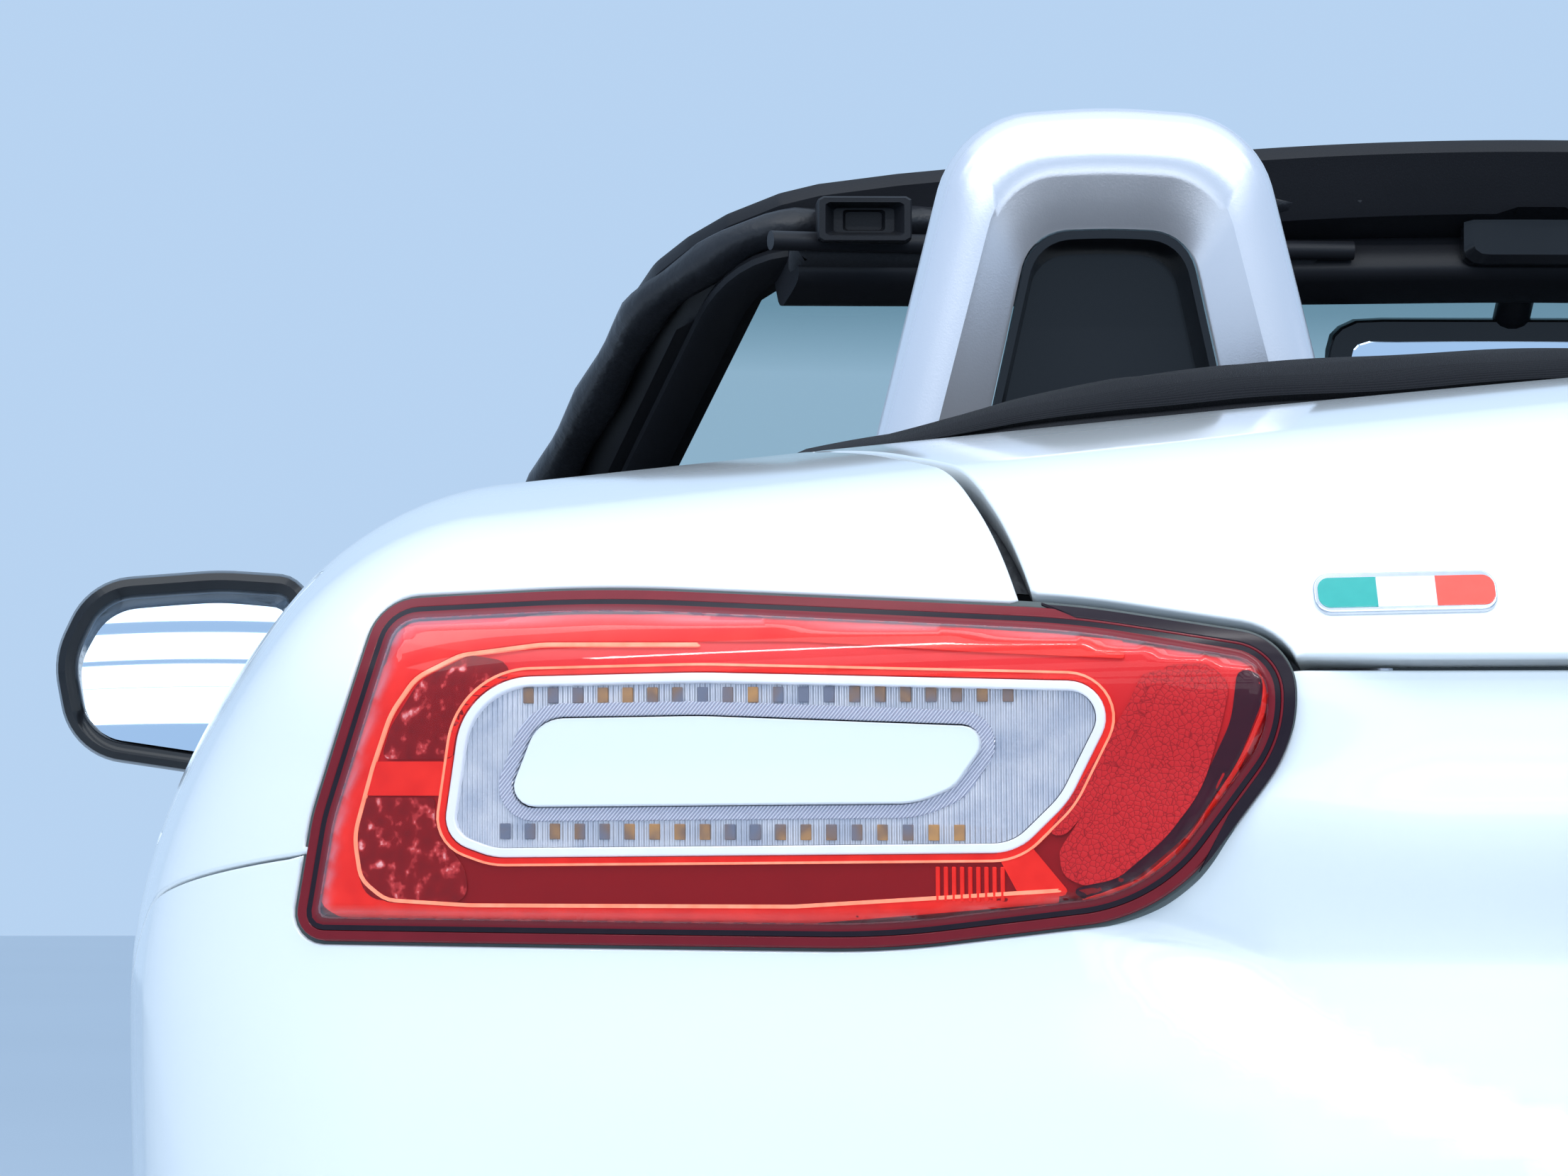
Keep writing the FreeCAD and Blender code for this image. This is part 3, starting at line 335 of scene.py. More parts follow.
def sheet(surface, loops, profile, pitch, facing=None, back=False):
    """A sheet on a surface, trimmed to flat outlines, its edge carried through a profile of (inset, depth)
    pairs. Returns points, faces and normals, which are zeros where the shading is worked out from the
    faces."""
    flat = np.concatenate(loops)
    starts = np.cumsum([0] + [len(loop) for loop in loops])
    edges = [(s + k, s + (k + 1) % len(loop)) for s, loop in zip(starts, loops) for k in range(len(loop))]
    low, high = flat.min(0), flat.max(0)
    a, b = np.meshgrid(np.arange(low[0], high[0], pitch), np.arange(low[1], high[1], pitch), indexing="ij")
    a = a + (np.arange(a.shape[1]) % 2) * 0.5 * pitch
    inner = np.stack([a.ravel(), b.ravel()], -1)
    inner = inner[within(inner, loops)]
    keep = np.ones(len(inner), bool)
    for p in flat:
        keep &= np.abs(inner - p).max(1) > 0.45 * pitch
    inner = inner[keep]
    every = np.concatenate([flat, inner])
    _, _, triangles, origins, _, _ = delaunay_2d_cdt([Vector(p) for p in every], edges, [], 0, 1e-6)
    origins = np.array([o[0] if o else -1 for o in origins])
    triangles = origins[np.array([list(t) for t in triangles])]
    triangles = triangles[(triangles >= 0).all(1)]
    triangles = triangles[within(every[triangles].mean(1), loops)]
    base = surface(every)
    if facing is None:
        along, across = [surface(every + step) - surface(every - step) for step in ((0.5, 0), (0, 0.5))]
        normal = unit(np.cross(along, across))
    else:
        normal = facing(base)
    corner = base[triangles]
    up = np.cross(corner[:, 1] - corner[:, 0], corner[:, 2] - corner[:, 0])
    flip = (up * normal[triangles[:, 0]]).sum(-1) < 0
    triangles[flip] = triangles[flip][:, ::-1]
    points = base - normal * profile[0][1]
    normals = normal.copy()
    rings, faces = [], []
    count = len(every)
    for s, loop in zip(starts, loops):
        ids = np.arange(s, s + len(loop))
        run = np.roll(base[ids], -1, 0) - np.roll(base[ids], 1, 0)
        out = np.cross(run, normal[ids])
        out /= np.linalg.norm(out, axis=-1, keepdims=True) + 1e-12
        flat_run = np.roll(loop, -1, 0) - np.roll(loop, 1, 0)
        handed = way_round(loop) * (-1.0 if s > 0 else 1.0)
        if facing is not None:
            sideways = np.stack([flat_run[:, 1], -flat_run[:, 0]], -1) * 0.05 * handed
            probe = surface(loop + sideways) - base[ids]
            handed = 1.0 if np.median((probe * out).sum(-1)) > 0 else -1.0
        out = out * handed
        points[ids] = base[ids] - out * profile[0][0] - normal[ids] * profile[0][1]
        ring = ids
        for inset, depth in profile[1:]:
            points = np.concatenate([points, base[ids] - out * inset - normal[ids] * depth])
            normals = np.concatenate([normals, np.zeros((len(ids), 3))])
            following = np.arange(count, count + len(ids))
            count += len(ids)
            quads = np.stack([ring, np.roll(ring, -1), np.roll(following, -1), following], -1)
            q = points[quads[:, :3]]
            way = np.cross(q[:, 1] - q[:, 0], q[:, 2] - q[:, 0])
            slope = -out * (profile[0][1] - profile[-1][1] > 0) + out
            if np.median((way * (slope + normal[ids] * 0.2)).sum(-1)) < 0:
                quads = quads[:, ::-1]
            faces += quads.tolist()
            ring = following
        rings.append(ring)
    faces = triangles.tolist() + faces
    if back:
        inset, depth = profile[-1]
        below = base - normal * depth
        ids = np.arange(count, count + len(every))
        for s, ring in zip(starts, rings):
            below[s:s + len(ring)] = points[ring]
            ids[s:s + len(ring)] = ring
        points = np.concatenate([points, below])
        normals = np.concatenate([normals, np.zeros((len(every), 3))])
        faces += ids[triangles][:, ::-1].tolist()
    return points, faces, normals


def mirrored(points, faces, normals):
    """A mesh on the car's left carried over to its right."""
    flip = np.array((-1, 1, 1))
    return points * flip, [list(f)[::-1] for f in faces], normals * flip


def joined(*parts):
    """Several meshes as one."""
    faces, start = [], 0
    for points, own_faces, _ in parts:
        faces += [[k + start for k in f] for f in own_faces]
        start += len(points)
    return np.concatenate([part[0] for part in parts]), faces, np.concatenate([part[2] for part in parts])


edge_radius, flange_depth = 1.6, 13.0
roll = [(edge_radius * (1 - math.sin(a)), edge_radius * (1 - math.cos(a)))
        for a in np.linspace(0, math.pi / 2, 5)]
flange = roll + [(0, flange_depth)]


# Rear wings. One steel pressing a side runs from the door round the shoulder and the tail's corner to the
# lamp and the boot lid, painted in body colour. The left one has a hole for the fuel flap.
lid_edge = [(536, 1100, 1), (530, 1400, 400), (503, 1640, 400), (478, 1790, 300), (424, 2060, 1)]
bumper_edge = [(1300, 520, 1), (1345, 578, 30), (1450, 650, 80), (1600, 700, 200), (1762, 729, 1),
               (2100, 729, 1)]
lamp_corners = [
    (779, 690, 12), (770, 745, 90), (740, 842, 24), (640, 846, 700), (440, 835, 400), (351, 820, 26),
    (350, 778, 60), (404, 704, 80), (520, 689, 400),
]


def grown(outline, by):
    """An outline moved outwards."""
    run = np.roll(outline, -1, 0) - np.roll(outline, 1, 0)
    out = np.stack([run[:, 1], -run[:, 0]], -1) * way_round(outline)
    return outline + by * out / np.linalg.norm(out, axis=-1, keepdims=True)


def opened(corners, pitch=4.0):
    """The rounded line through corners of (a, b, radius), left open at its ends."""
    (a0, b0, _), (a1, b1, _) = corners[0], corners[-1]
    closing = [(a1, b1, 0.1), (a1 + 9000, b1 + 7000, 0), (a0 + 9000, b0 + 7000, 0)]
    line = rounded([(a0, b0, 0.1)] + list(corners[1:-1]) + closing, pitch)
    first = np.argmin(np.hypot(line[:, 0] - a0, line[:, 1] - b0))
    last = np.argmin(np.hypot(line[:, 0] - a1, line[:, 1] - b1))
    line = np.roll(line, -first, 0)
    return line[: (last - first) % len(line) + 1]


wing_centre = np.array((300.0, 1480.0, 520.0))
wing_reach = 450.0


def wing_surface(flat):
    """Rear wing from flat places: along the car and then round the corner, and up round the shoulder."""
    along, rise = flat[:, 0], flat[:, 1] / wing_reach
    turn = math.pi / 2 - np.maximum(along - wing_centre[1], 0.0) / wing_reach
    origin = places(wing_centre[0], np.minimum(along, wing_centre[1]), wing_centre[2])
    way = np.stack([np.sin(turn) * np.cos(rise), np.cos(turn) * np.cos(rise), np.sin(rise)], -1)
    return hit(origin, way)


def wing_place(p):
    """The flat place of a point of the wing."""
    x, y, z = (p - (wing_centre[0], 0, wing_centre[2])).T
    back = np.maximum(y - wing_centre[1], 0.0)
    turn = math.pi / 2 - np.arctan2(x, back)
    rise = np.arctan2(z, np.hypot(x, back))
    return np.stack([np.minimum(y, wing_centre[1]) + turn * wing_reach, rise * wing_reach], -1)


lid_line = opened(lid_edge)


def along_lid(gap, pitch=5.0):
    """The lid's left edge on the outer form, moved inwards by a gap, from front to tail."""
    y = np.arange(1100.0, 1760.0, pitch)
    upper = on_top(np.interp(y, lid_line[:, 1], lid_line[:, 0]) - gap, y)
    z = np.arange(upper[-1, 2] - 3.0, 780.0, -3.0)
    back = np.full(len(z), 1850.0)
    for _ in range(6):
        lower = on_tail(np.interp(back, lid_line[:, 1], lid_line[:, 0]) - gap, z)
        back = lower[:, 1]
    return np.concatenate([upper, lower])


axle_y, wheel_z, arch_radius = 1120, 308, 350
door_y, sill_z = 458, 206.6
lamp_line = rounded(lamp_corners, 4.0)
lamp_gap = grown(lamp_line, 1.6)
lid_side = along_lid(0.0)
over_lamp = lamp_gap[np.argsort(lamp_gap[:, 0])]
over_lamp = over_lamp[over_lamp[:, 1] > 800]
lid_side_wing = lid_side[lid_side[:, 2] > np.interp(lid_side[:, 0], over_lamp[:, 0], over_lamp[:, 1]) + 1.0]
corner_x = lid_side_wing[-1, 0]
start = np.argmin(np.abs(lamp_gap[:, 0] - corner_x) + 10 * (lamp_gap[:, 1] < 800))
round_lamp = np.roll(lamp_gap, -start, 0)
if round_lamp[5, 0] < corner_x:
    round_lamp = np.roll(round_lamp[::-1], 1, 0)
outer_run = round_lamp[: np.argmax((round_lamp[:, 1] < 730) & (round_lamp[:, 0] > 700))]
outer_run = outer_run[outer_run[:, 0] > corner_x + 2]
split = opened(bumper_edge[1:-1], 5.0)[::-1]
split = split[split[:, 0] > 1349]
split_angle = math.atan2(578 - wheel_z, 1345 - axle_y)


def wheel_arch(last_angle, count):
    """The arch's edge seen from the side, from the bumper's split onwards."""
    turn = np.linspace(split_angle, last_angle, count)
    return np.stack([axle_y + arch_radius * np.cos(turn), wheel_z + arch_radius * np.sin(turn)], -1)


arch = wheel_arch(math.pi + math.asin((wheel_z - sill_z) / arch_radius), 120)
sill_line = np.arange(arch[-1, 0] - 6, door_y, -6.0)
door_rise = np.linspace(
    wing_place(on_side(door_y, sill_z)[None])[0, 1], wing_place(on_top(688, door_y)[None])[0, 1], 110)
deck_plan = opened([(688, door_y, 1), (676, 940, 60), (536, 1010, 30), (536, 1098, 1)], 5.0)
wing_loop = wing_place(np.concatenate([
    on_top(deck_plan[1:, 0], deck_plan[1:, 1]),
    lid_side_wing,
    on_tail(outer_run[:, 0], outer_run[:, 1]),
    on_side(split[:, 0], split[:, 1] + 0.6),
    on_side(arch[:, 0], arch[:, 1]),
    on_side(sill_line, sill_z),
]))
wing_loop = np.concatenate([wing_loop, places(door_y, door_rise)])

flap_centre = on_side(1440.0, 800.0)
flap_way = form_normal(flap_centre[None])[0]
flap_rise = np.array((0, 0, 1)) - flap_way * flap_way[2]
flap_rise /= np.linalg.norm(flap_rise)
flap_along = np.cross(flap_rise, flap_way)


def flap_outline(half, radius):
    """The fuel flap's outline on the wing, as points of the outer form."""
    flat = rectangle(-half, -half, half, half, radius, 4.0)
    below = flap_centre + flat[:, :1] * flap_along + flat[:, 1:] * flap_rise - 120 * flap_way
    return hit(below, flap_way)


flap_hole = wing_place(flap_outline(77.0, 39.0))
left = sheet(wing_surface, [wing_loop, flap_hole], flange, 9.0, form_normal)
right = mirrored(*sheet(wing_surface, [wing_loop], flange, 9.0, form_normal))
piece("rear_wings_skin", joined(left, right), paint, "paint", "rear_wings", shaded=True)


# Fuel flap. A small pressed steel door in the left wing's shoulder, in body colour and hinged at its front
# edge. Its edge is rolled over and turned in, all round a closed back.
flap = sheet(wing_surface, [wing_place(flap_outline(72.0, 34.0))], flange, 8.0, form_normal, back=True)
piece("fuel_flap_skin", flap, paint, "paint", "fuel_flap", body="fuel_flap", shaded=True)


# Boot lid. Top and rear face are one pressed steel panel in white, cut flat along its lower edge over the
# bumper. It is hinged at its front edge, and its own edges are rolled over and closed behind.
lid_centre_y, lid_centre_z, lid_reach = 1560, 640, 450.0


def lid_surface(flat):
    """Boot lid from flat places: across the car, and up round its rear corner."""
    x, angle = flat[:, 0], flat[:, 1] / lid_reach
    return hit(places(x, lid_centre_y, lid_centre_z), places(0, np.cos(angle), np.sin(angle)))


def lid_place(p):
    return places(p[:, 0], np.arctan2(p[:, 2] - lid_centre_z, p[:, 1] - lid_centre_y) * lid_reach)


def whole(half):
    """A half outline and its mirror image, as one loop."""
    return np.concatenate([half, half[::-1] * (-1, 1, 1)[:half.shape[1]]])


crease_z = 814.0
lid_front_y = 1244.0
lid_side = along_lid(6.0)
lamp_wide_gap = grown(lamp_line, 6.0)
upper = lamp_wide_gap[lamp_wide_gap[:, 1] > 812]
upper = upper[np.argsort(upper[:, 0])]
lid_side = lid_side[lid_side[:, 1] > lid_front_y]
lid_side = lid_side[lid_side[:, 2] > np.interp(lid_side[:, 0], upper[:, 0], upper[:, 1]) + 1.0]
over_lamp = upper[upper[:, 0] < lid_side[-1, 0] - 1.5][::-1]
crease_x = np.arange(over_lamp[-1, 0] - 4, 0, -6.0)
half = np.concatenate([
    on_top(np.arange(3.0, lid_side[0, 0], 6.0), lid_front_y),
    lid_side,
    on_tail(over_lamp[:, 0], over_lamp[:, 1]),
    on_tail(crease_x, crease_z),
])
lid = sheet(lid_surface, [lid_place(whole(half))], roll + [(0, 14.0)], 10.0, form_normal, back=True)
piece("boot_lid_panel", lid, paint, "paint", "boot_lid", body="boot_lid", shaded=True)


# Tail bumper. One moulding of painted plastic around the tail from arch to arch, set in by a lip under the
# boot lid and by a dished place around the number plate. It has holes for the exhaust outlets and the towing
# eye.
def smooth(t):
    t = np.clip(t, 0.0, 1.0)
    return t * t * (3 - 2 * t)


def recess(x, z):
    """How far the bumper's face is set in, at a place seen from behind."""
    lip = 12.0 * smooth((z - 716) / 90) * smooth((375 - np.abs(x)) / 90)
    reach = [((np.abs(x) / a) ** 2.2 + (np.abs(z - 740) / b) ** 2.2) ** (1 / 2.2)
             for a, b in ((458, 160), (378, 147))]
    inward = (1 - reach[0]) / (1 - reach[0] + np.maximum(1e-6, reach[1] - 1))
    inward = np.where(reach[1] <= 1, 1.0, np.where(reach[0] >= 1, 0.0, inward))
    return lip + 24.0 * smooth(inward) * smooth((752 - z) / 70)


bumper_centre_y, bumper_reach, bumper_low = 1200, 800.0, 178.0


def bumper_surface(flat):
    """Bumper from flat places: round the tail, and the height."""
    turn, z = -flat[:, 0] / bumper_reach, flat[:, 1]
    p = hit(places(0, bumper_centre_y, z), places(np.sin(turn), np.cos(turn), 0 * z))
    p[:, 1] -= recess(p[:, 0], z)
    return p


def bumper_place(p):
    return places(-np.arctan2(p[:, 0], p[:, 1] - bumper_centre_y) * bumper_reach, p[:, 2])


bumper_top = crease_z - 6.0
lower = lamp_gap[lamp_gap[:, 1] < bumper_top]
start = np.argmin(np.abs(lower[:, 1] - bumper_top) + 1000 * (lower[:, 0] > 400))
lower = np.roll(lower, -start, 0)
if lower[3, 0] > lower[0, 0] + 8 or lower[5, 1] > lower[0, 1]:
    lower = np.roll(lower[::-1], 1, 0)
lower = lower[: np.argmax((lower[:, 0] > 700) & (lower[:, 1] > 728.4))]
forward = split[np.argsort(-split[:, 0])]
forward = forward[forward[:, 0] < on_tail(lower[-1:, 0], 728.4)[0, 1] - 2]
rear_arch = wheel_arch(math.asin((bumper_low - wheel_z) / arch_radius), 70)
half = np.concatenate([
    bumper_place(on_tail(np.arange(3.0, lower[0, 0] - 3, 6.0), bumper_top)),
    bumper_place(on_tail(lower[:, 0], lower[:, 1])),
    bumper_place(on_side(forward[:, 0], forward[:, 1] - 0.6)),
    bumper_place(on_side(rear_arch[:, 0], rear_arch[:, 1])),
])
half = np.concatenate([half, places(np.arange(half[-1, 0] + 8, -4, 8.0), bumper_low)])


def ring_at(x, z, radius, count=48):
    """A round hole in the bumper."""
    turn = np.linspace(0, 2 * math.pi, count, endpoint=False)
    return bumper_place(on_tail(x + radius * np.cos(turn), z + radius * np.sin(turn)))


outlet_x, outlet_z, outlet_radius = 370, 300, 46
outlets = [ring_at(x, outlet_z, outlet_radius) for x in (outlet_x, -outlet_x)]
tow_eye = ring_at(440, 450, 24, 32)
tail = sheet(bumper_surface, [whole(half)] + outlets + [tow_eye], flange, 8.0)
piece("tail_bumper_skin", tail, paint, "paint", "tail_bumper", shaded=True)


# Rear deck. A fixed strip of painted steel between the folded roof and the boot lid. It is welded to the
# wings and rolled over at its edges.
deck_left = opened([(r[0] - 0.6, r[1], r[2]) for r in lid_edge], 6.0)
deck_left = deck_left[(deck_left[:, 1] > 1150) & (deck_left[:, 1] < 1238)]
deck_loop = spaced(whole(deck_left), 6.0)
deck = sheet(lambda flat: on_top(flat[:, 0], flat[:, 1]), [deck_loop], flange, 9.0, form_normal)
piece("rear_deck_strip", deck, paint, "paint", "rear_deck", shaded=True)


# Tail lamps. A clear domed plastic cover over a deep red inner lamp, with a flat red flange around it and a
# gasket against the paint. The light pipe follows the outline inside, and the clear ring with its rows of
# diodes surrounds a painted island.
def lamp_level(flat):
    """Height of the cover over the outer form: a low flange, then a rounded step up to the dome."""
    gap = np.linalg.norm(flat[:, None] - lamp_line[None], axis=-1).min(1)
    gap = np.where(within(flat, [lamp_line]), gap, 0.0)
    return 2.0 + 7.0 * smooth((gap - 8.0) / 7.0)


def pair(name, part, material, slot, *nodes, body="body", **how):
    """A part on the car's left and its mirror image, as one piece on the body or as one on each door."""
    if body == "body":
        piece(name, joined(part, mirrored(*part)), material, slot, *nodes, **how)
        return
    for side, one in (("left", part), ("right", mirrored(*part))):
        own_nodes = [node % side for node in nodes]
        piece(name + "_" + side, one, material, slot, *own_nodes, body=body + "_" + side, **how)


def lamp_part(name, loops, drop, material, profile=((0, 0), (0, 1.0)), pitch=4.0, nodes=()):
    """A zone of both lamps, on a surface below the cover. It is turned over so that it faces out."""
    def below_cover(flat):
        seen = flat * (-1, 1)
        return on_tail(seen[:, 0], seen[:, 1], lamp_level(seen) - drop)

    zone = sheet(below_cover, [loop * (-1, 1) for loop in loops], list(profile), pitch)
    pair(name, zone, material, "red_lens", *nodes, shaded=True)


flange_red = mottled(
    "lamp_flange", 60.0, 2.0, (0.15, 0.006, 0.012), (0.20, 0.010, 0.018), Roughness=0.22,
    Specular_IOR_Level=0.25)
lamp_black = mottled(
    "lamp_black", 90.0, 2.0, (0.012, 0.006, 0.012), (0.02, 0.012, 0.018), Roughness=0.2,
    Specular_IOR_Level=0.2)


def lamp_inset(by):
    """The lamp's outline moved inwards, with its small corners kept round."""
    shrunk = [(a, b, max(4.0, r - by)) for a, b, r in lamp_corners]
    line = np.array([(a, b) for a, b, _ in shrunk], float)
    before, after = line - np.roll(line, 1, 0), np.roll(line, -1, 0) - line
    before, after = unit(before), unit(after)
    side = way_round(line)
    out = unit(np.stack([before[:, 1] + after[:, 1], -before[:, 0] - after[:, 0]], -1) * side)
    square = np.maximum(0.3, (out * np.stack([before[:, 1], -before[:, 0]], -1) * side).sum(1))
    moved = line - by * out / square[:, None]
    return rounded([(a, b, r) for (a, b), (_, _, r) in zip(moved, shrunk)])


lamp_part("lamp_bowl", [lamp_inset(1.2)], 12.0, lamp_black, [(0, 0), (0, 40)], 12.0,
          nodes=["tail_lamp_housings"])
lamp_part("lamp_flange_outer", [lamp_inset(0.0), lamp_inset(4.6)], 0.0, flange_red,
          [(0.8, 0), (0.3, 0.3), (0, 0.8), (0, 9)])
lamp_part("lamp_flange_line", [lamp_inset(4.6), lamp_inset(6.8)], 0.0, lamp_black)
lamp_part("lamp_flange_inner", [lamp_inset(6.8), lamp_inset(9.6)], 0.0, flange_red)
gasket = mottled("gasket", 80.0, 2.0, (0.05, 0.065, 0.065), (0.08, 0.10, 0.10), Roughness=0.55)
lamp_part("lamp_gasket", [lamp_inset(-2.6), lamp_inset(0.3)], 3.5, gasket, [(0.6, 0), (0, 0.6), (0, 8)])

cover_clear = Finish("lamp_cover").glass((1.0, 0.97, 0.97), (1.0, 0.97, 0.98), 0.03, 0.015, 0.8, 2.6)
ring_corners = [
    (712, 735, 24), (702, 806, 34), (600, 808, 400), (419, 803, 16), (444, 752, 40), (466, 730, 24),
    (690, 727, 30),
]
island_corners = [(685, 749, 9), (670, 788, 16), (600, 789, 300), (474, 784, 8), (492, 758, 14),
                  (508, 751, 40)]
ring_line, island_line = rounded(ring_corners), rounded(island_corners)
lamp_part("lamp_cover_dome", [lamp_inset(9.6), grown(island_line, 0.6)], 0.0, cover_clear)

# The field's red grows lighter towards the lamp's top. This is painted light: a painted glow and highlight
# along the upper part of the dome.
deep_red = Finish("lamp_field")
painted_top_light = (deep_red.place(2) - 0.69) * 6.6 + deep_red.noise(40.0) * 0.15
deep_red = deep_red.done(
    Base_Color=deep_red.ramp(
        painted_top_light, (0.0, (0.20, 0.004, 0.006)), (0.42, (0.30, 0.006, 0.008)), (0.70, (0.62, 0.012, 0.014)),
        (1.0, (0.85, 0.04, 0.04))),
    Roughness=0.3, Specular_IOR_Level=0.1,
)
lamp_part("lamp_field", [lamp_inset(9.0), ring_line], 4.3, deep_red, nodes=["tail_lamp_lenses"])

# The light pipe's emission is a painted glow. The lamp is not lit, and the glow stands in for light falling
# on the pipe.
pipe_red = mottled(
    "light_pipe", 70.0, 5.0, (0.50, 0.004, 0.004), (0.90, 0.035, 0.02), Roughness=0.15,
    Specular_IOR_Level=0.15,
    Emission_Color=(1.0, 0.02, 0.01, 1.0), Emission_Strength=0.20)


def ribbon(line, width, pitch=3.0):
    """Closed outline of a strip along an open line. Columns of the line are x, z and corner radius."""
    run = opened(line, pitch)
    along = np.gradient(run, axis=0)
    out = np.stack([along[:, 1], -along[:, 0]], -1) / np.linalg.norm(along, axis=1)[:, None]
    return np.concatenate([run + out * width / 2, (run - out * width / 2)[::-1]])


pipe_band = [
    (420, 821, 1), (500, 828, 30), (600, 834, 60), (700, 832, 60), (724, 826, 20), (740, 810, 30),
    (749, 784, 40), (757, 755, 60), (764, 725, 40), (767, 706, 8), (757, 700, 8), (560, 698.5, 60),
    (448, 708.5, 1), (448, 714, 1), (560, 705.5, 60), (700, 705, 60), (738, 707, 14), (749, 716, 12),
    (752, 736, 30), (744, 766, 40), (736, 790, 40), (725, 807, 20), (705, 817, 20), (668, 822, 60),
    (554, 821, 60), (480, 816, 60), (420, 813, 1),
]
lamp_part("light_pipe_outer", [rounded(pipe_band)], 3.2, pipe_red)
# The pipe's edges carry a painted glow: pale orange colour and emission that stand in for highlights along
# the pipe and the ring.
pipe_edge_glow = mottled(
    "light_pipe_edge", 140.0, 2.0, (1.0, 0.16, 0.07), (1.0, 0.42, 0.25), Roughness=0.1,
    Emission_Color=(1.0, 0.20, 0.10, 1.0), Emission_Strength=0.4)
inner_edge = [(448, 714, 1), (560, 706.5, 60), (700, 706, 60), (737, 708, 14), (748, 717, 12), (751, 736, 30),
              (743, 766, 40), (735, 790, 40), (724, 806, 20), (704, 816, 20), (668, 820.5, 60),
              (600, 820, 60)]
lamp_part("light_pipe_edge", [ribbon(inner_edge, 1.6)], 2.6, pipe_edge_glow)
lamp_part("light_pipe_ring", [grown(ring_line, 3.4), grown(ring_line, 0.4)], 3.1, pipe_red)
lamp_part("light_pipe_ring_edge", [grown(ring_line, 3.9), grown(ring_line, 2.9)], 2.6, pipe_edge_glow)
tabs = [("left", [(743, 769, 2), (710, 769, 2), (711, 754, 2), (747, 754, 2)]),
        ("right", [(476, 733, 3), (460, 733, 3), (443, 712, 2), (464, 710, 2)])]
for side, corners in tabs:
    lamp_part("lamp_tab_" + side, [rounded(corners)], 3.0, pipe_red)

chamber_red = Finish("lamp_chamber")
chamber_red = chamber_red.done(
    Base_Color=chamber_red.ramp(
        chamber_red.noise(160.0, 6.0), (0.0, (0.14, 0.003, 0.004)), (0.55, (0.26, 0.005, 0.006)),
        (0.64, (0.62, 0.05, 0.05)), (0.74, (1.0, 0.5, 0.48))),
    Roughness=0.2, Specular_IOR_Level=0.15,
)
chambers = [
    ("upper", [(739, 770, 3), (735, 784, 20), (722, 805, 20), (700, 816, 8), (676, 812, 6), (697, 792, 20),
               (708, 770, 4)]),
    ("lower", [(746, 753, 2), (751, 730, 30), (746, 708, 10), (700, 707, 8), (702, 722, 20), (716, 742, 20),
               (715, 753, 2)]),
]
for place, corners in chambers:
    lamp_part("lamp_chamber_" + place, [rounded(corners)], 3.1, chamber_red)

reflector_red = Finish("lamp_reflector")
cells = reflector_red.cells(420.0)
reflector_red = reflector_red.done(
    Base_Color=reflector_red.ramp(cells * 3.0, (0.0, (0.30, 0.005, 0.007)), (0.25, (0.62, 0.016, 0.018))),
    Roughness=0.25, Specular_IOR_Level=0.2, Normal=reflector_red.bump(cells, 0.0002),
)
leaf = [(403, 810, 6), (386, 811, 10), (376, 803, 10), (380, 785, 30), (388, 757, 60), (404, 736, 60),
        (424, 719, 20), (438, 716, 6), (447, 720, 8), (448, 731, 6), (437, 748, 40), (421, 775, 60),
        (408, 801, 30)]
lamp_part("lamp_leaf", [rounded(leaf)], 3.0, reflector_red)
dots = [(413, 806, 4), (398, 810, 4), (408, 796, 20), (428, 757, 30), (446, 737, 6), (453, 738, 4),
        (433, 769, 30), (419, 793, 30)]
lamp_part("lamp_dot_strip", [rounded(dots)], 2.7, reflector_red)
# A dark maroon patch along the lamp's inner end, beside the reflector leaf. It is painted shade.
dark_edge = [(373, 809, 4), (362, 806, 6), (363, 794, 20), (374, 767, 60), (394, 738, 60), (416, 719, 40),
             (437, 710, 2), (444, 714, 2), (430, 718, 20), (406, 737, 60), (387, 762, 60), (376, 786, 40)]
lamp_painted_shade = mottled(
    "lamp_painted_shade", 60.0, 2.0, (0.022, 0.002, 0.008), (0.06, 0.004, 0.014), Roughness=0.3,
    Specular_IOR_Level=0.15)
lamp_part("lamp_dark_edge", [rounded(dark_edge)], 3.5, lamp_painted_shade)
# A black strip over the lamp's upper inner edge, where the gap under the boot lid lies. It is painted shade
# in the gap.
gap_outer, gap_inner = lamp_inset(-1.5), lamp_inset(3.4)
gap_outer = gap_outer[(gap_outer[:, 0] < 454) & (gap_outer[:, 1] > 722)]
gap_inner = gap_inner[(gap_inner[:, 0] < 440) & (gap_inner[:, 1] > 746)]
gap_turn = [np.argsort(np.arctan2(line[:, 1] - 722, line[:, 0] - 454) % (2 * math.pi))
            for line in (gap_outer, gap_inner)]
gap_strip = np.concatenate([gap_outer[gap_turn[0]], gap_inner[gap_turn[1]][::-1]])
lamp_part("lamp_gap_seal", [gap_strip], -0.5, lamp_black, [(0.5, 0), (0, 0.5), (0, 1.6)])
edge_line = [(398, 821, 1), (374, 817, 10), (360, 806, 10), (362, 790, 20), (373, 766, 60), (393, 735, 60),
             (414, 717, 30), (438, 709, 1)]
lamp_part("lamp_edge_line", [ribbon(edge_line, 1.6)], 2.6, pipe_red)
rib_pitch, rib_width = 3.4, 1.7
for k in range(9):
    x = 500 - rib_pitch * k
    rib = rectangle(x, 709, x - rib_width, 724, 0.4, 2.0)
    lamp_part("lamp_rib_%d" % k, [rib], 2.6, pipe_red, [(0.4, 0), (0, 0.5), (0, 1.2)], 3.0)

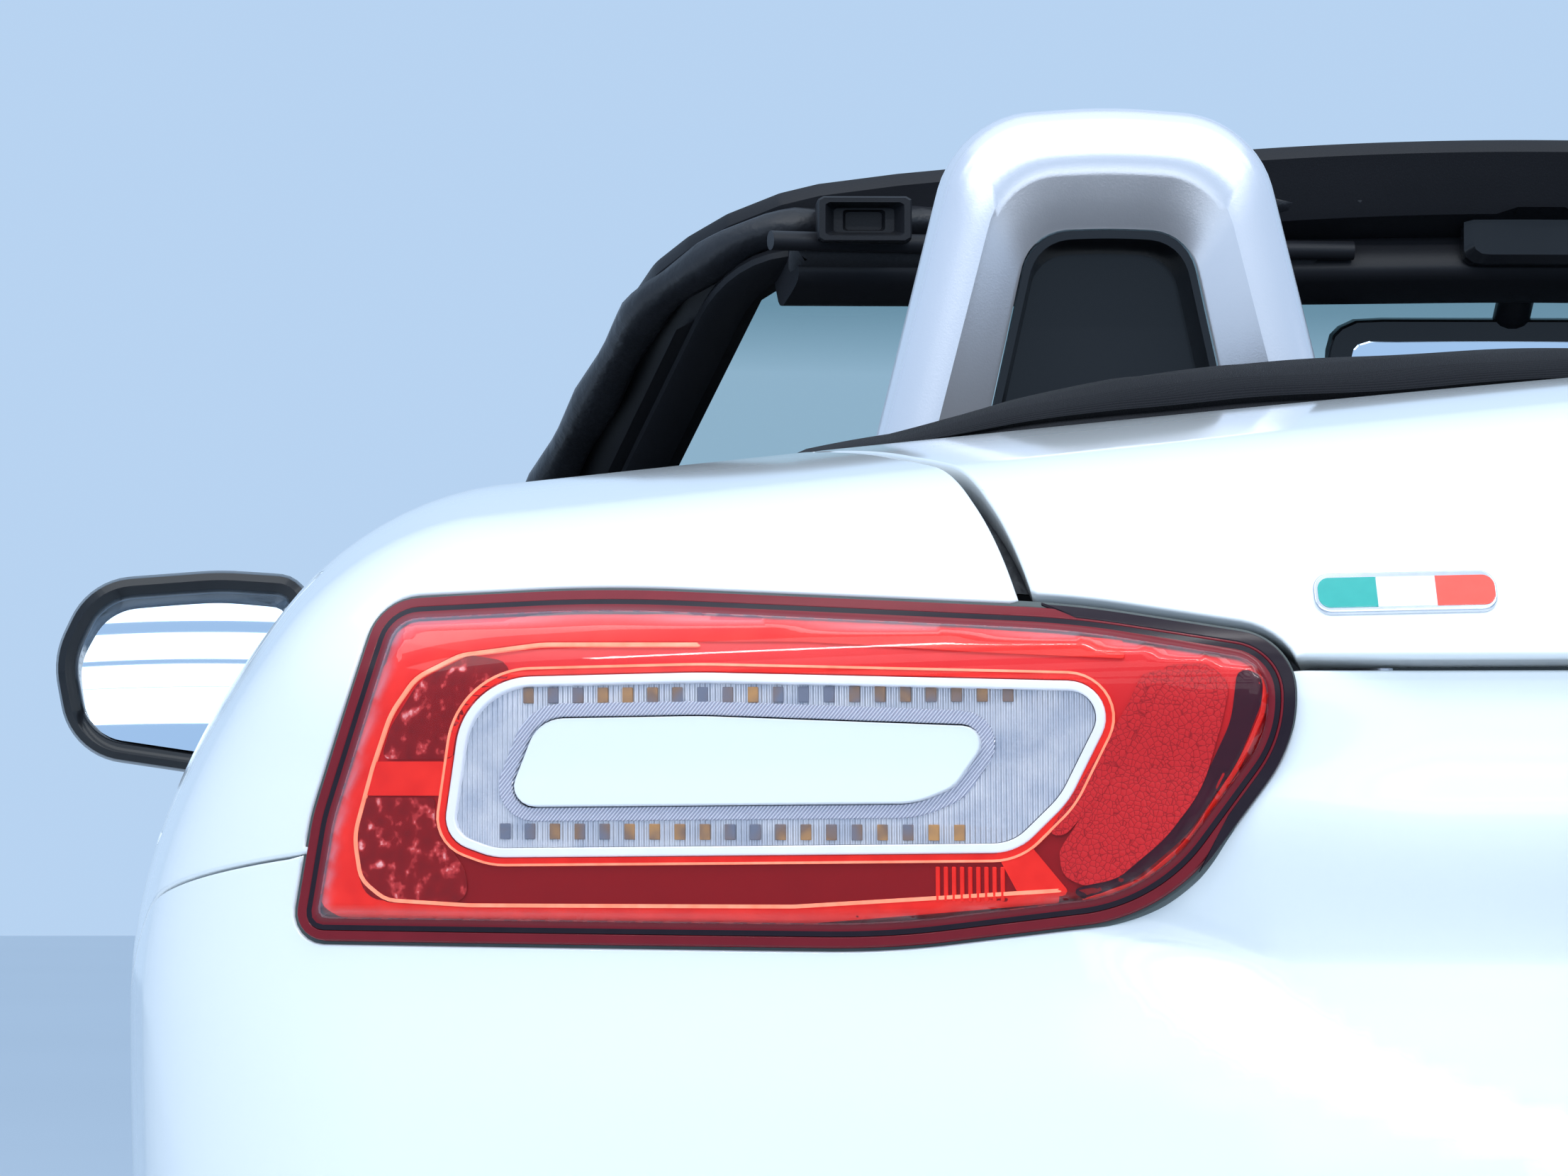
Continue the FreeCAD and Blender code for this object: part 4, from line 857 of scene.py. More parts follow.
ring_clear = mottled(
    "lamp_ring", 70.0, 4.0, (0.36, 0.44, 0.58), (1.0, 1.0, 1.0), Roughness=0.12, Metallic=0.25,
    Normal=lambda finish: finish.bump(finish.waves(finish.place(0), 0.0022), 0.0005))
# On the tail lamps this white is a painted highlight along the ring's rounded outer edge. The headlamps use
# it as the white of their light guides and lenses.
white_and_painted_highlight = mottled(
    "lamp_ring_edge", 50.0, 2.0, (0.86, 0.92, 1.0), (1.0, 1.0, 1.0), Roughness=0.08, Coat_Weight=1.0,
    Coat_Roughness=0.02)
ring_grey = Finish("lamp_ring_inner")
hatch = ring_grey.waves(ring_grey.place(0) + ring_grey.place(2) * 0.8, 0.0016)
ring_grey = ring_grey.done(
    Base_Color=ring_grey.mix(hatch * 0.5 + 0.5, (0.40, 0.44, 0.56), (0.86, 0.90, 1.0)),
    Roughness=0.25, Metallic=0.3, Normal=ring_grey.bump(hatch, 0.0003),
)
# The ring's edge band is a painted highlight in white.
lamp_part("ring_edge", [ring_line, grown(ring_line, -4.2)], 2.0, white_and_painted_highlight,
          [(0.8, 0), (0.2, 0.4), (0, 1.2), (0, 4)])
lamp_part("ring_field", [grown(ring_line, -4.2), grown(island_line, 6.0)], 5.0, ring_clear,
          nodes=["tail_lamp_rings"])
lamp_part("ring_inner", [grown(island_line, 6.4), grown(island_line, 0.4)], 4.0, ring_grey,
          [(0.4, 0), (0, 0.6), (0, 3)])
lamp_part("lamp_island", [grown(island_line, -0.2)], 1.0, paint, [(0.8, 0), (0.2, 0.4), (0, 1.2), (0, 5)],
          nodes=["tail_lamp_islands"])

diode = Finish("diode")
diode = diode.done(
    Base_Color=diode.ramp(
        diode.noise(34.0, 3.0), (0.36, (0.16, 0.18, 0.24)), (0.52, (0.24, 0.15, 0.10)),
        (0.64, (0.52, 0.27, 0.09))),
    Roughness=0.3,
)
diode_pitch, diode_width, diode_half_height = 10.8, 4.4, 3.4
diode_room = [grown(ring_line, -6.0)]
for row, (z, first, count) in enumerate([(798, 672, 20), (738.5, 682, 19)]):
    for k in range(count):
        x = first - diode_pitch * k
        if within(np.array([(x + diode_width / 2, z)]), diode_room)[0]:
            square = rectangle(x, z - diode_half_height, x + diode_width, z + diode_half_height, 0.3, 2.2)
            lamp_part("diode_%d_%d" % (row, k), [square], 4.0, diode, [(0.3, 0), (0, 0.3), (0, 1.2)], 3.0)


# Enamel bar on the boot lid. Three plain colours lie in a bright metal rim, which is stuck on to the left of
# the lid's middle.
def badge_surface(level):
    """The lid's form a little raised, with its heights leaned to follow the bar."""
    def at(flat):
        x, z = -flat[:, 0], flat[:, 1]
        return on_tail(x, z + (x - 300) * -0.018, level)
    return at


bright = mottled(
    "bright_metal", 200.0, 2.0, (0.62, 0.64, 0.68), (0.78, 0.80, 0.84), Metallic=1.0, Roughness=0.14)
badge_rim = rectangle(262, 833, 339, 850.5, 7, 1.0) * (-1, 1)
badge_rim = sheet(badge_surface(2.2), [badge_rim], [(1.2, 0), (0.35, 0.35), (0, 1.2), (0, 2.2)], 3.0)
piece("lid_badge_rim", badge_rim, bright, "silver", body="boot_lid", shaded=True)
field_end, field_width, field_low, field_high = 337.0, 24.7, 835.2, 848.3
fields = [("green", (0.0, 0.33, 0.29)), ("white", (0.80, 0.88, 0.90)), ("red", (0.83, 0.06, 0.03))]
for k, (name, colour) in enumerate(fields):
    lighter = tuple(min(1.0, c * 1.12 + 0.01) for c in colour)
    enamel = mottled(
        "enamel_" + name, 150.0, 2.0, colour, lighter, Roughness=0.12, Coat_Weight=1.0, Coat_Roughness=0.03)
    x0, x1 = field_end - field_width * (k + 1), field_end - field_width * k
    r0, r1 = 0.2 if k < 2 else 5.0, 0.2 if k > 0 else 5.0
    line = rounded([(x0, field_low, r0), (x1, field_low, r1), (x1, field_high, r1), (x0, field_high, r0)],
                   1.0)
    field = sheet(badge_surface(2.6), [line * (-1, 1)], [(0.3, 0), (0, 0.3), (0, 0.6)], 3.0)
    piece("lid_badge_" + name, field, enamel, "paint", body="boot_lid", shaded=True)


# Windscreen. A cast frame trimmed in black and bowed across the car, screwed to the cowl. Rubber seals run
# along its rear face, and a padded head rail crosses its top.
black_trim = mottled(
    "black_trim", 9.0, 2.0, (0.011, 0.012, 0.015), (0.022, 0.023, 0.028), grain=(700.0, 2.0, 0.00008),
    Roughness=0.42, Specular_IOR_Level=0.22)
rubber = mottled(
    "rubber", 24.0, 4.0, (0.008, 0.009, 0.012), (0.025, 0.027, 0.034), grain=(90.0, 3.0, 0.0012),
    Roughness=lambda finish: finish.noise(30.0) * 0.3 + 0.26, Specular_IOR_Level=0.4)
screen_rise, screen_run = 284, 644


def screen_surface(flat):
    """Windscreen from places seen from in front: x and z."""
    x, z = flat[:, 0], flat[:, 1]
    t = (z - 898 + 14 * (x / 560) ** 2) / screen_rise
    return places(x, -596 + screen_run * t + 120 * (x / 700) ** 2, z)


def screen_away(flat, depth):
    """Places at a depth behind the windscreen's outer face."""
    slope = math.atan2(screen_rise, screen_run)
    return screen_surface(flat) - depth * np.array((0.0, -math.sin(slope), math.cos(slope)))


frame_right = [(716, 893, 8), (614, 1064, 30), (601, 1090, 30), (588, 1108, 30), (566, 1124, 30),
               (540, 1138, 30), (505, 1151, 30), (479, 1157, 30), (426, 1164, 30), (386, 1168, 30)]
frame_outer = [(-x, z, r) for x, z, r in frame_right] + [(0, 1195, 3000)] + frame_right[::-1]
frame_inner = [(-605, 925, 30), (-502, 1124, 50), (502, 1124, 50), (605, 925, 30)]
frame_profile = [(7, 0), (2, 2), (0, 7), (0, 12), (9, 22), (22, 38), (28, 44)]
screen_frame = sheet(screen_surface, [rounded(frame_outer, 8.0), rounded(frame_inner, 8.0)], frame_profile,
                     16.0, back=True)
x, y, z = screen_frame[0].T
screen_frame[0][:, 2] = np.maximum(z, on_top(x, y)[:, 2] - 1.0)
piece("windscreen_surround", screen_frame, black_trim, "black_trim", "windscreen_frame")


def grid(rows, count, around=True, along=False):
    """Quads between rows of points. Around joins each row's ends, along joins the last row to the first."""
    def steps(n, closed):
        return [(k, (k + 1) % n) for k in range(n if closed else n - 1)]

    return [[a * count + i, a * count + j, b * count + j, b * count + i]
            for a, b in steps(rows, along) for i, j in steps(count, around)]


def tube(rings, closed=False):
    """A tube through rings of points, its ends filled or, if closed, joined to each other."""
    rows, count = len(rings), len(rings[0])
    faces = grid(rows, count, True, closed)
    if not closed:
        faces += [list(range(count))[::-1], [(rows - 1) * count + i for i in range(count)]]
    points = np.concatenate(rings)
    return points, faces, np.zeros_like(points)


def facing_out(p, middle):
    """Whether faces, given by three points each, look away from a middle on the whole."""
    way = np.cross(p[:, 1] - p[:, 0], p[:, 2] - p[:, 0])
    return ((p.mean(1) - middle) * way).sum() >= 0


def swept(path, section, up, closed=False):
    """A bar along a path. The section's columns are across and up, or a list of such sections."""
    path, up = np.asarray(path, float), np.broadcast_to(np.asarray(up, float), (len(path), 3))
    along = np.roll(path, -1, 0) - np.roll(path, 1, 0) if closed else np.gradient(path, axis=0)
    along = unit(along)
    across = unit(np.cross(along, up))
    up = np.cross(across, along)
    section = np.asarray(section, float)
    if section.ndim == 2:
        section = np.broadcast_to(section, (len(path), *section.shape))
    rings = path[:, None] + section[..., :1] * across[:, None] + section[..., 1:] * up[:, None]
    points, faces, normals = tube(rings, closed)
    n, m = rings.shape[:2]
    if not facing_out(points[np.array(faces[: (n - 1) * m])[:, :3]], np.repeat(path[: n - 1], m, 0)):
        faces = [f[::-1] for f in faces]
    return points, faces, normals


def oval(wide, high, count=16, square=2.0):
    """A section between an ellipse (square 2) and a rectangle."""
    t = np.linspace(0, 2 * math.pi, count, endpoint=False)
    c, s = np.cos(t), np.sin(t)
    power = 2 / square
    return np.stack([wide * np.sign(c) * np.abs(c) ** power, high * np.sign(s) * np.abs(s) ** power], -1)


seal_line = opened([
    (-700, 915, 1), (-590, 1106, 60), (-520, 1150, 100), (0, 1180, 4000), (520, 1150, 100), (590, 1106, 60),
    (700, 915, 1)], 9.0)
seal_path = screen_away(seal_line, 30.0)
bulge = np.interp(np.arange(len(seal_path)) % 7, [0, 3, 6], [0, 1, 0])
seal_sections = [oval(14 + 2.5 * b, 10 + 2.5 * b, 14, 2.4) for b in bulge]
screen_up = (0, 0.44, -0.9)
seal = swept(seal_path, seal_sections, screen_up)
piece("windscreen_seal", seal, rubber, "rubber")
lip_line = opened([(-636, 925, 1), (-526, 1146, 60), (0, 1152, 4000), (526, 1146, 60), (636, 925, 1)], 9.0)
lip = swept(screen_away(lip_line, 47.0), oval(15, 6, 12, 3.0), screen_up)
piece("windscreen_inner_trim", lip, black_trim, "black_trim")

header = opened([(-500, 1146, 1), (0, 1154, 4000), (500, 1146, 1)], 10.0)
header = swept(screen_away(header, 56.0) + (0, 4, 0), oval(24, 17, 20, 4.0), screen_up)
piece("windscreen_head_rail", header, black_trim, "black_trim")


# Roof latches. A moulded black box with a stepped pocket sits at each end of the head rail, screwed to the
# frame. The folding roof hooks into it.
def stepped(centre, rings):
    """A block of rounded rectangles. Each ring has half width, half height, corner radius and y offset."""
    count = 48
    t = np.linspace(0, 2 * math.pi, count, endpoint=False) + math.pi / count
    t_wrapped = np.mod(t + math.pi, 2 * math.pi) - math.pi
    blocks = []
    for half_x, half_z, radius, y in rings:
        line = rectangle(-half_x, -half_z, half_x, half_z, radius, 1e9)
        turn = np.arctan2(line[:, 1] / half_z, line[:, 0] / half_x)
        order = np.argsort(turn)
        x, z = [np.interp(t_wrapped, turn[order], line[order, k], period=2 * math.pi) for k in (0, 1)]
        blocks.append(places(centre[0] + x, centre[1] + y, centre[2] + z))
    points, faces, normals = tube(blocks)
    return points, [f[::-1] for f in faces[:-2]] + faces[-2:], normals


latch = stepped((450, 114, 1127), [
    (31, 15, 3, -30), (31, 15, 3, 14), (30, 14, 3, 16), (26, 11, 2, 16), (20, 8, 2, 2), (14, 7, 2, 2),
    (12, 6, 2, -4)])
pair("roof_latches", latch, black_trim, "black_trim", sharp=25.0)


# Sun visors. Boards padded and covered in dark cloth hang from a rod under the head rail, which is clipped to
# the windscreen frame at both ends.
visor = sheet(lambda flat: screen_away(flat, 48.0), [rectangle(136, 1140, 500, 1164, 9, 6.0)],
              [(8, 0), (3, 1.6), (0.6, 5), (0, 9), (0.6, 13), (3, 16.4), (8, 18)], 14.0, back=True)
visor_cloth = mottled(
    "visor_cloth", 500.0, 2.0, (0.016, 0.017, 0.020), (0.035, 0.036, 0.042), grain=(900.0, 2.0, 0.0003),
    Roughness=0.8)
pair("visor_boards", visor, visor_cloth, "cloth", "sun_visors")
rod = screen_away(places(np.linspace(118, 512, 60), 1166), 58.0)
pair("visor_rods", swept(rod, oval(6.5, 6.5, 12), (0, 0, 1)), black_trim, "black_trim")


# Cabin mirror. Its moulded gloss black case holds silvered glass and sits on a stalk. The housing of the rain
# sensor, above it, is clipped to the glass.
gloss_black = mottled(
    "gloss_black", 7.0, 2.0, (0.006, 0.007, 0.009), (0.012, 0.013, 0.016), Roughness=0.16,
    Specular_IOR_Level=0.3, Coat_Weight=0.25, Coat_Roughness=0.02)
case = stepped((0, -40, 1040), [
    (96, 18, 12, -46), (116, 27, 18, -40), (126, 32, 22, -28), (128, 33, 23, -8), (126, 31.5, 22, -4),
    (124, 30, 21, -6)])
piece("cabin_mirror_case", case, gloss_black, "gloss_black", "cabin_mirror", sharp=30.0)
silvered = mottled(
    "silvered_glass", 3.0, 2.0, (0.70, 0.80, 0.92), (0.78, 0.88, 0.98), Metallic=1.0, Roughness=0.02)
face = stepped((0, -45, 1040), [(110, 17, 11, -2), (110, 17, 11, -0.6), (109, 16, 10, -0.4)])
piece("cabin_mirror_glass", face, silvered, "mirror")
stalk = places(0, np.linspace(-72, 18, 12), np.linspace(1062, 1108, 12))
piece("cabin_mirror_stalk", swept(stalk, oval(13, 9, 14), (0, 0, 1)), black_trim, "black_trim")
sensor = stepped((0, 30, 1132), [
    (30, 16, 8, -60), (42, 26, 10, -30), (46, 30, 10, 8), (44, 28, 9, 14), (38, 22, 8, 17)])
piece("sensor_housing", sensor, gloss_black, "gloss_black", sharp=30.0)


# Windscreen glass. The bent laminated pane is clear and slightly green, with a shaded band along its top. It
# keeps the solid's shape.
pane = Finish("pane")
plain_tint, band_tint = (0.80, 0.87, 0.86), (0.50, 0.61, 0.61)
pane_height = (pane.place(2) - 0.90) * 4.4
pane_tint = pane.ramp(
    pane_height, (0.0, plain_tint), (0.62, plain_tint), (0.80, (0.58, 0.69, 0.69)), (1.0, band_tint))
pane = pane.glass(pane_tint, (0.9, 1.0, 1.0), 0.02, 0.02, 0.6, 5.0)


# Roll hoops. A satin silver arch of cast metal stands behind each seat, bolted to the body. It is rounded
# outside and bevelled in to a black rim and a black panel.
silver = mottled(
    "silver", 5.0, 3.0, (0.80, 0.80, 0.85), (0.88, 0.88, 0.93), grain=(900.0, 2.0, 0.00004), Metallic=0.7,
    Roughness=0.26, Coat_Weight=0.3, Coat_Roughness=0.2)
hoop_x, hoop_foot_z = 352, 817.0


def evenly(line, count):
    """Points at even distances along a flat line, as columns."""
    gone = np.concatenate([[0], np.cumsum(np.linalg.norm(np.diff(line, axis=0), axis=1))])
    at = np.linspace(0, gone[-1], count)
    return np.interp(at, gone, line[:, 0]), np.interp(at, gone, line[:, 1])


def arch_line(low_x, high_x, top_z, radius, y, crown=1.5):
    """A hoop outline with an even count of points, from one foot over to the other."""
    line = opened([(low_x, hoop_foot_z, 1), (high_x, top_z, radius), (0, top_z + crown, 300),
                   (-high_x, top_z, radius), (-low_x, hoop_foot_z, 1)])
    x, z = evenly(line, 121)
    return places(hoop_x + x, y, z)


def lofted(lines, closed=False):
    """A skin from line to line, each with the same count of points."""
    points = np.concatenate(lines)
    return points, grid(len(lines), len(lines[0]), False, closed), np.zeros_like(points)


def flipped(part):
    """A mesh with its faces turned over."""
    return part[0], [f[::-1] for f in part[1]], part[2]


hoop_lines = [
    (98, 47, 1062.0, 28, 884), (150, 76, 1119.0, 76, 880, 5.0), (157, 81, 1124.5, 82, 886, 6.0),
    (160, 83, 1127.0, 84, 900, 6.0), (160, 83, 1127.0, 84, 926, 6.0), (158, 81, 1124.5, 82, 944, 6.0),
    (152, 77, 1118.0, 76, 955, 5.0), (143, 70, 1106.0, 62, 961, 4.0), (131, 60, 1093.5, 44, 962, 3.0),
    (127, 58, 1089.5, 40, 960, 3.0), (118, 53, 1080.0, 36, 956, 2.0), (98, 44, 1062.5, 27, 947),
]
hoop = flipped(lofted([arch_line(*values) for values in hoop_lines], closed=True))
pair("roll_hoop_arches", hoop, silver, "silver", "roll_hoops", sharp=32.0)
rim_lines = [
    (97.5, 43.5, 1062.0, 27, 944), (97, 43, 1061.5, 27, 949), (93, 40, 1057.0, 24, 949),
    (90, 38, 1052.0, 22, 930), (89, 37, 1051.0, 22, 900),
]
rim = flipped(lofted([arch_line(*values) for values in rim_lines]))
panel_edge = arch_line(90, 38, 1052.5, 22, 908)
panel_points = np.concatenate([panel_edge, [(hoop_x, 908, hoop_foot_z)]])
panel_faces = [[i, i + 1, len(panel_edge)] for i in range(len(panel_edge) - 1)]
back_panel = (panel_points, panel_faces, np.zeros_like(panel_points))
front_panel = flipped((panel_points - (0, 14, 0), panel_faces, back_panel[2]))
panels = joined(rim, back_panel, front_panel)
pair("roll_hoop_panels", panels, gloss_black, "gloss_black", "hoop_fillers", sharp=32.0)


# Door mirrors. A moulded gloss black shell stands on a short foot bolted to the door, with slightly domed
# silvered glass set back in its rim.
mirror_rim = [(822, 800, 40), (826, 903, 24), (890, 907, 200), (983, 900, 70), (1009, 845, 60),
              (996, 775, 60), (895, 760, 150), (850, 764, 40)]


def mirror_ring(by, y):
    """The mirror's outline moved inwards, at a place along the car."""
    line = grown(rounded(mirror_rim, 4.0), -by)
    x, z = evenly(np.concatenate([line, line[:1]]), 97)
    return places(x[:-1], y, z[:-1])


def shell(rings):
    """A tube that is open at its first ring and filled at its last."""
    points, faces, normals = tube(rings)
    faces = faces[:-2] + faces[-1:]
    p = points[np.array(faces[:len(rings[0])])[:, :3]]
    if not facing_out(p, p.mean((0, 1))):
        faces = [f[::-1] for f in faces]
    return points, faces, normals


shrink = [(16.0, -342), (16.0, -314), (13.0, -309), (7.0, -306), (2.0, -309), (0.0, -316), (0.0, -330),
          (2.0, -350), (7.0, -370), (15.0, -384), (26.0, -393), (38.0, -398)]
mirror_shell = shell([mirror_ring(by, y) for by, y in shrink])
foot = places(np.linspace(768, 868, 14), -362, np.interp(np.arange(14), [0, 5, 13], [826, 822, 800]))
mirror_shell = joined(mirror_shell, swept(foot, oval(22, 11, 18, 2.6), (0, 0, 1)))
pair("mirror_shell", mirror_shell, gloss_black, "gloss_black", "door_%s_mirror", body="door")
glass_middle = mirror_ring(0.0, -317.0).mean(0)
glass_reach, glass_dome, glass_lean = 92.0, 6.0, 0.18
glass_rings = []
for share in (1.0, 0.8, 0.6, 0.4, 0.2, 0.05):
    ring = glass_middle + (mirror_ring(15.6, -323.0) - glass_middle) * share
    ring[:, 1] += glass_dome * (1 - ((ring[:, [0, 2]] - glass_middle[[0, 2]]) ** 2).sum(1) / glass_reach ** 2)
    ring[:, 1] -= glass_lean * (ring[:, 2] - glass_middle[2])
    glass_rings.append(ring)
points, faces, _ = shell(glass_rings)
fall = 2 * glass_dome * (points - glass_middle) / glass_reach ** 2
glass = (points, faces, unit(places(fall[:, 0], 1, fall[:, 2] + glass_lean)))
pair("mirror_glass", glass, silvered, "mirror", body="door", shaded=True)


# Folded roof. The layers of black woven cloth lie in a trough behind the hoops. The uppermost is drawn smooth
# over the bows below, with slight ripples.
roof_cloth = Finish("roof_cloth")
warp, weft = [
    roof_cloth.add("TexWave", {"wave_type": "BANDS", "bands_direction": way},
                   {"Vector": roof_cloth.place(), "Scale": 380.0, "Distortion": 0.4}) for way in "XY"]
roof_cloth = roof_cloth.done(
    Base_Color=roof_cloth.mix(roof_cloth.noise(14.0, 4.0), (0.006, 0.007, 0.010), (0.013, 0.014, 0.018)),
    Roughness=0.85, Specular_IOR_Level=0.15, Sheen_Weight=0.04, Normal=roof_cloth.bump(warp * weft, 0.0004),
)
roof_x = np.linspace(-531, 531, 170)
roof_profile = [(1001, -60, 0), (997, -30, 0), (996, -4, 0), (1000, 12, 1), (1012, 19, 1), (1034, 22.5, 1),
                (1060, 23.6, 1), (1086, 23.0, 1), (1110, 20.4, 1), (1126, 16.0, 1), (1134, 11.0, 1),
                (1137, 7.0, 1), (1133, 5.0, 1), (1138, 3.4, 1), (1143, 0.0, 1), (1146, -8, 1), (1147, -60, 0)]
crest = np.interp(
    np.abs(roof_x), [0, 115, 246, 300, 359, 416, 480, 526, 531], [26, 27, 31, 32, 30, 22, 9, 5, 3])
highest = max(rise for _, rise, _ in roof_profile)
roof_rows = []
for y, rise, loose in roof_profile:
    ripple = 0.7 * np.sin(roof_x / 47.0 + y * 0.05) + 0.5 * np.sin(roof_x / 19.0 + y * 0.11)
    deck_z = on_top(roof_x, np.clip(y, 1000, 1146))[:, 2]
    roof_rows.append(places(roof_x, y, deck_z + rise * crest / highest + loose * ripple))
roof_points, roof_faces, _ = flipped(lofted(roof_rows))
wide = len(roof_x)
last = len(roof_points) - wide
roof_faces += [list(range(0, last + 1, wide))[::-1], list(range(wide - 1, last + wide, wide))]
roof_faces += [[i + 1, last + i + 1, last + i, i] for i in range(wide - 1)]
folded = piece("folded_roof_cloth", (roof_points, roof_faces), roof_cloth, "cloth", "folded_roof", sharp=80.0)


# Bonnet, front wings, nose, doors and sills. They keep their pressed solids, in the body's paint. The black
# plastic trims and liners and the rubber seals keep their solids too.
def coat(material, *names):
    """Gives carried-over solids their material."""
    for name in names:
        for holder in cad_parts[name].material_slots:
            holder.material = material


coat(paint, "bonnet", "front_wings", "front_bumper", "door_left_shell", "door_right_shell", "sills")
coat(pane, "windscreen")
coat(black_trim, "side_trims", "arch_liners", "fuel_pocket", "rear_shelf", "cowl_panel")
coat(rubber, "boot_gutter", "door_seals")


# Door handles. Moulded bows painted in body colour, to be gripped from below or above. Each is fixed at both
# ends through the door's skin.
def plateau(at, low, high, turn):
    """1 between two places and 0 beyond them, with soft turns."""
    return smooth((at - low) / turn) * smooth((high - at) / turn)


handle_y = np.linspace(244, 424, 40)
handle = on_side(handle_y, 768)
handle[:, 0] += 25.0 * plateau(handle_y, 244, 424, 26) - 4
pair("door_handle", swept(handle, oval(13, 6.5, 18, 2.4), (1, 0, 0)), paint, "paint", body="door")


# Door trims. A moulded black panel is clipped to each door's inner face. It swells into an armrest, is dished
# for a pocket, and carries a silver pull screwed on at both ends.
door_inner_x, trim_thickness = 738.0, 9.0


def door_trim_surface(flat):
    """The trim's face from flat places: backwards along the car, and the height."""
    y, z = -flat[:, 0], flat[:, 1]
    arm = 46.0 * plateau(z, 566, 652, 34) * plateau(y, -330, 250, 90)
    pocket = -5.0 * plateau(z, 300, 450, 20) * plateau(y, -420, 60, 30)
    return places(door_inner_x - trim_thickness - arm - pocket, y, z)


trim_line = [(-360, 262, 60), (-360, 770, 40), (560, 800, 60), (590, 560, 80), (520, 262, 60)]
door_trim = sheet(door_trim_surface, [rounded(trim_line, 14.0)], [(5, 0), (1.4, 1.4), (0, 5), (0, 10)], 16.0,
                  back=True)
pair("door_trim", door_trim, black_trim, "black_trim", body="door")
pull_y = np.linspace(-190, -40, 30)
pull = places(731 - 20 * plateau(pull_y, -190, -40, 24), pull_y, 715)
pair("door_pull", swept(pull, oval(9, 4.5, 14, 2.6), (1, 0, 0)), silver, "silver", body="door")


# Headlamps. Under a clear cover in the nose lie a gloss black bowl, a light guide along the edge, a large
# bright dish with a lens and a small one. Each lamp is one unit, screwed to the nose.
def on_nose(x, z, level=0.0):
    return hit(places(x, -1100, z), (0.0, -1.0, 0.0), level)


def turned(centre, axis, rings, count=40, closed=False):
    """A body of revolution. The rings' columns are place along the axis and radius."""
    axis = unit(np.asarray(axis, float))
    across = unit(np.cross(axis, (0, 0, 1) if abs(axis[2]) < 0.9 else (0, 1, 0)))
    up = np.cross(axis, across)
    t = np.linspace(0, 2 * math.pi, count, endpoint=False)
    circle = np.cos(t)[:, None] * across + np.sin(t)[:, None] * up
    return tube([np.asarray(centre) + place * axis + radius * circle for place, radius in rings], closed)


headlamp_corners = [(574, 602, 24), (660, 612, 200), (792, 676, 20), (770, 728, 40), (660, 714, 300),
                    (582, 674, 30)]
headlamp_line = rounded(headlamp_corners, 5.0)


def nose_sheet(level, loops, profile, pitch):
    """A sheet on the nose, raised to a level, from outlines seen from in front."""
    return sheet(lambda flat: on_nose(flat[:, 0], flat[:, 1], level), loops, profile, pitch)


headlamp_clear = cover_clear.copy()
bowl = nose_sheet(-46.0, [grown(headlamp_line, -4.0)], [(0, 0), (-3, -20), (-3, -42)], 16.0)
guide_loops = [grown(headlamp_line, -7.0), grown(headlamp_line, -12.0)]
guide = nose_sheet(-7.0, guide_loops, [(1, 0), (0, 1), (0, 5)], 6.0)
cover = nose_sheet(1.0, [headlamp_line], [(1.5, 0), (0.4, 0.6), (0, 1.6), (0, 6)], 9.0)
pair("headlamp_bowl", bowl, gloss_black, "gloss_black", "headlamps")
pair("headlamp_guide", guide, white_and_painted_highlight, "clear_lens")
pair("headlamp_cover", cover, headlamp_clear, "clear_lens")
for name, x, z, size in (("large", 654, 660, 37.0), ("small", 722, 684, 26.0)):
    front = float(on_nose(x + size, z)[1]) + 6.0
    dish = [(0, size), (1, size + 1.5), (-2, size + 2.5), (-24, size * 0.82), (-30, size * 0.6),
            (-27, size * 0.6), (-21, size * 0.78), (-1, size - 1.5)]
    dish = turned((x, front, z), (0, -1, 0), dish, closed=True)
    pair("headlamp_dish_" + name, dish, bright, "silver", sharp=30.0)
    lens = [(-30, size * 0.6), (-22, size * 0.6), (-14, size * 0.5), (-9, size * 0.32), (-7.5, size * 0.1)]
    pair("headlamp_lens_" + name, turned((x, front, z), (0, -1, 0), lens), white_and_painted_highlight, "clear_lens",
         sharp=60.0)


# Grille. A moulded net of gloss black bars fills the nose's opening, with a bright rim clipped round it and a
# dark screen behind.
grille_line = rounded([
    (-300, 420, 40), (-420, 500, 40), (-330, 610, 40), (330, 610, 40), (420, 500, 40), (300, 420, 40)], 8.0)
screen = nose_sheet(-34.0, [grown(grille_line, 4.0)], [(0, 0), (0, 4)], 20.0)
piece("grille_screen", screen, black_trim, "black_trim", "grille")
rim_loops = [grown(grille_line, -1.0), grown(grille_line, -13.0)]
rim = nose_sheet(1.0, rim_loops, [(3, 0), (0.8, 1), (0, 3), (0, 22)], 8.0)
piece("grille_rim", rim, bright, "silver")
grille_inner = [grown(grille_line, -9.0)]
bars = []
for k in range(9):
    z = 437 + 19.5 * k
    x = np.arange(-420.0, 420.5, 6.0)
    x = x[within(places(x, z), grille_inner)]
    bars.append(swept(on_nose(x, z, -9.0), oval(4.0, 1.7, 8, 2.4), (0, -1, 0)))
for k in range(-17, 18):
    x = 22.0 * k
    z = np.arange(425.0, 608.0, 6.0)
    z = z[within(places(x, z), grille_inner)]
    if len(z) > 3:
        bars.append(swept(on_nose(x, z, -10.5), oval(4.0, 1.4, 8, 2.4), (0, -1, 0)))
piece("grille_bars", joined(*bars), gloss_black, "gloss_black")


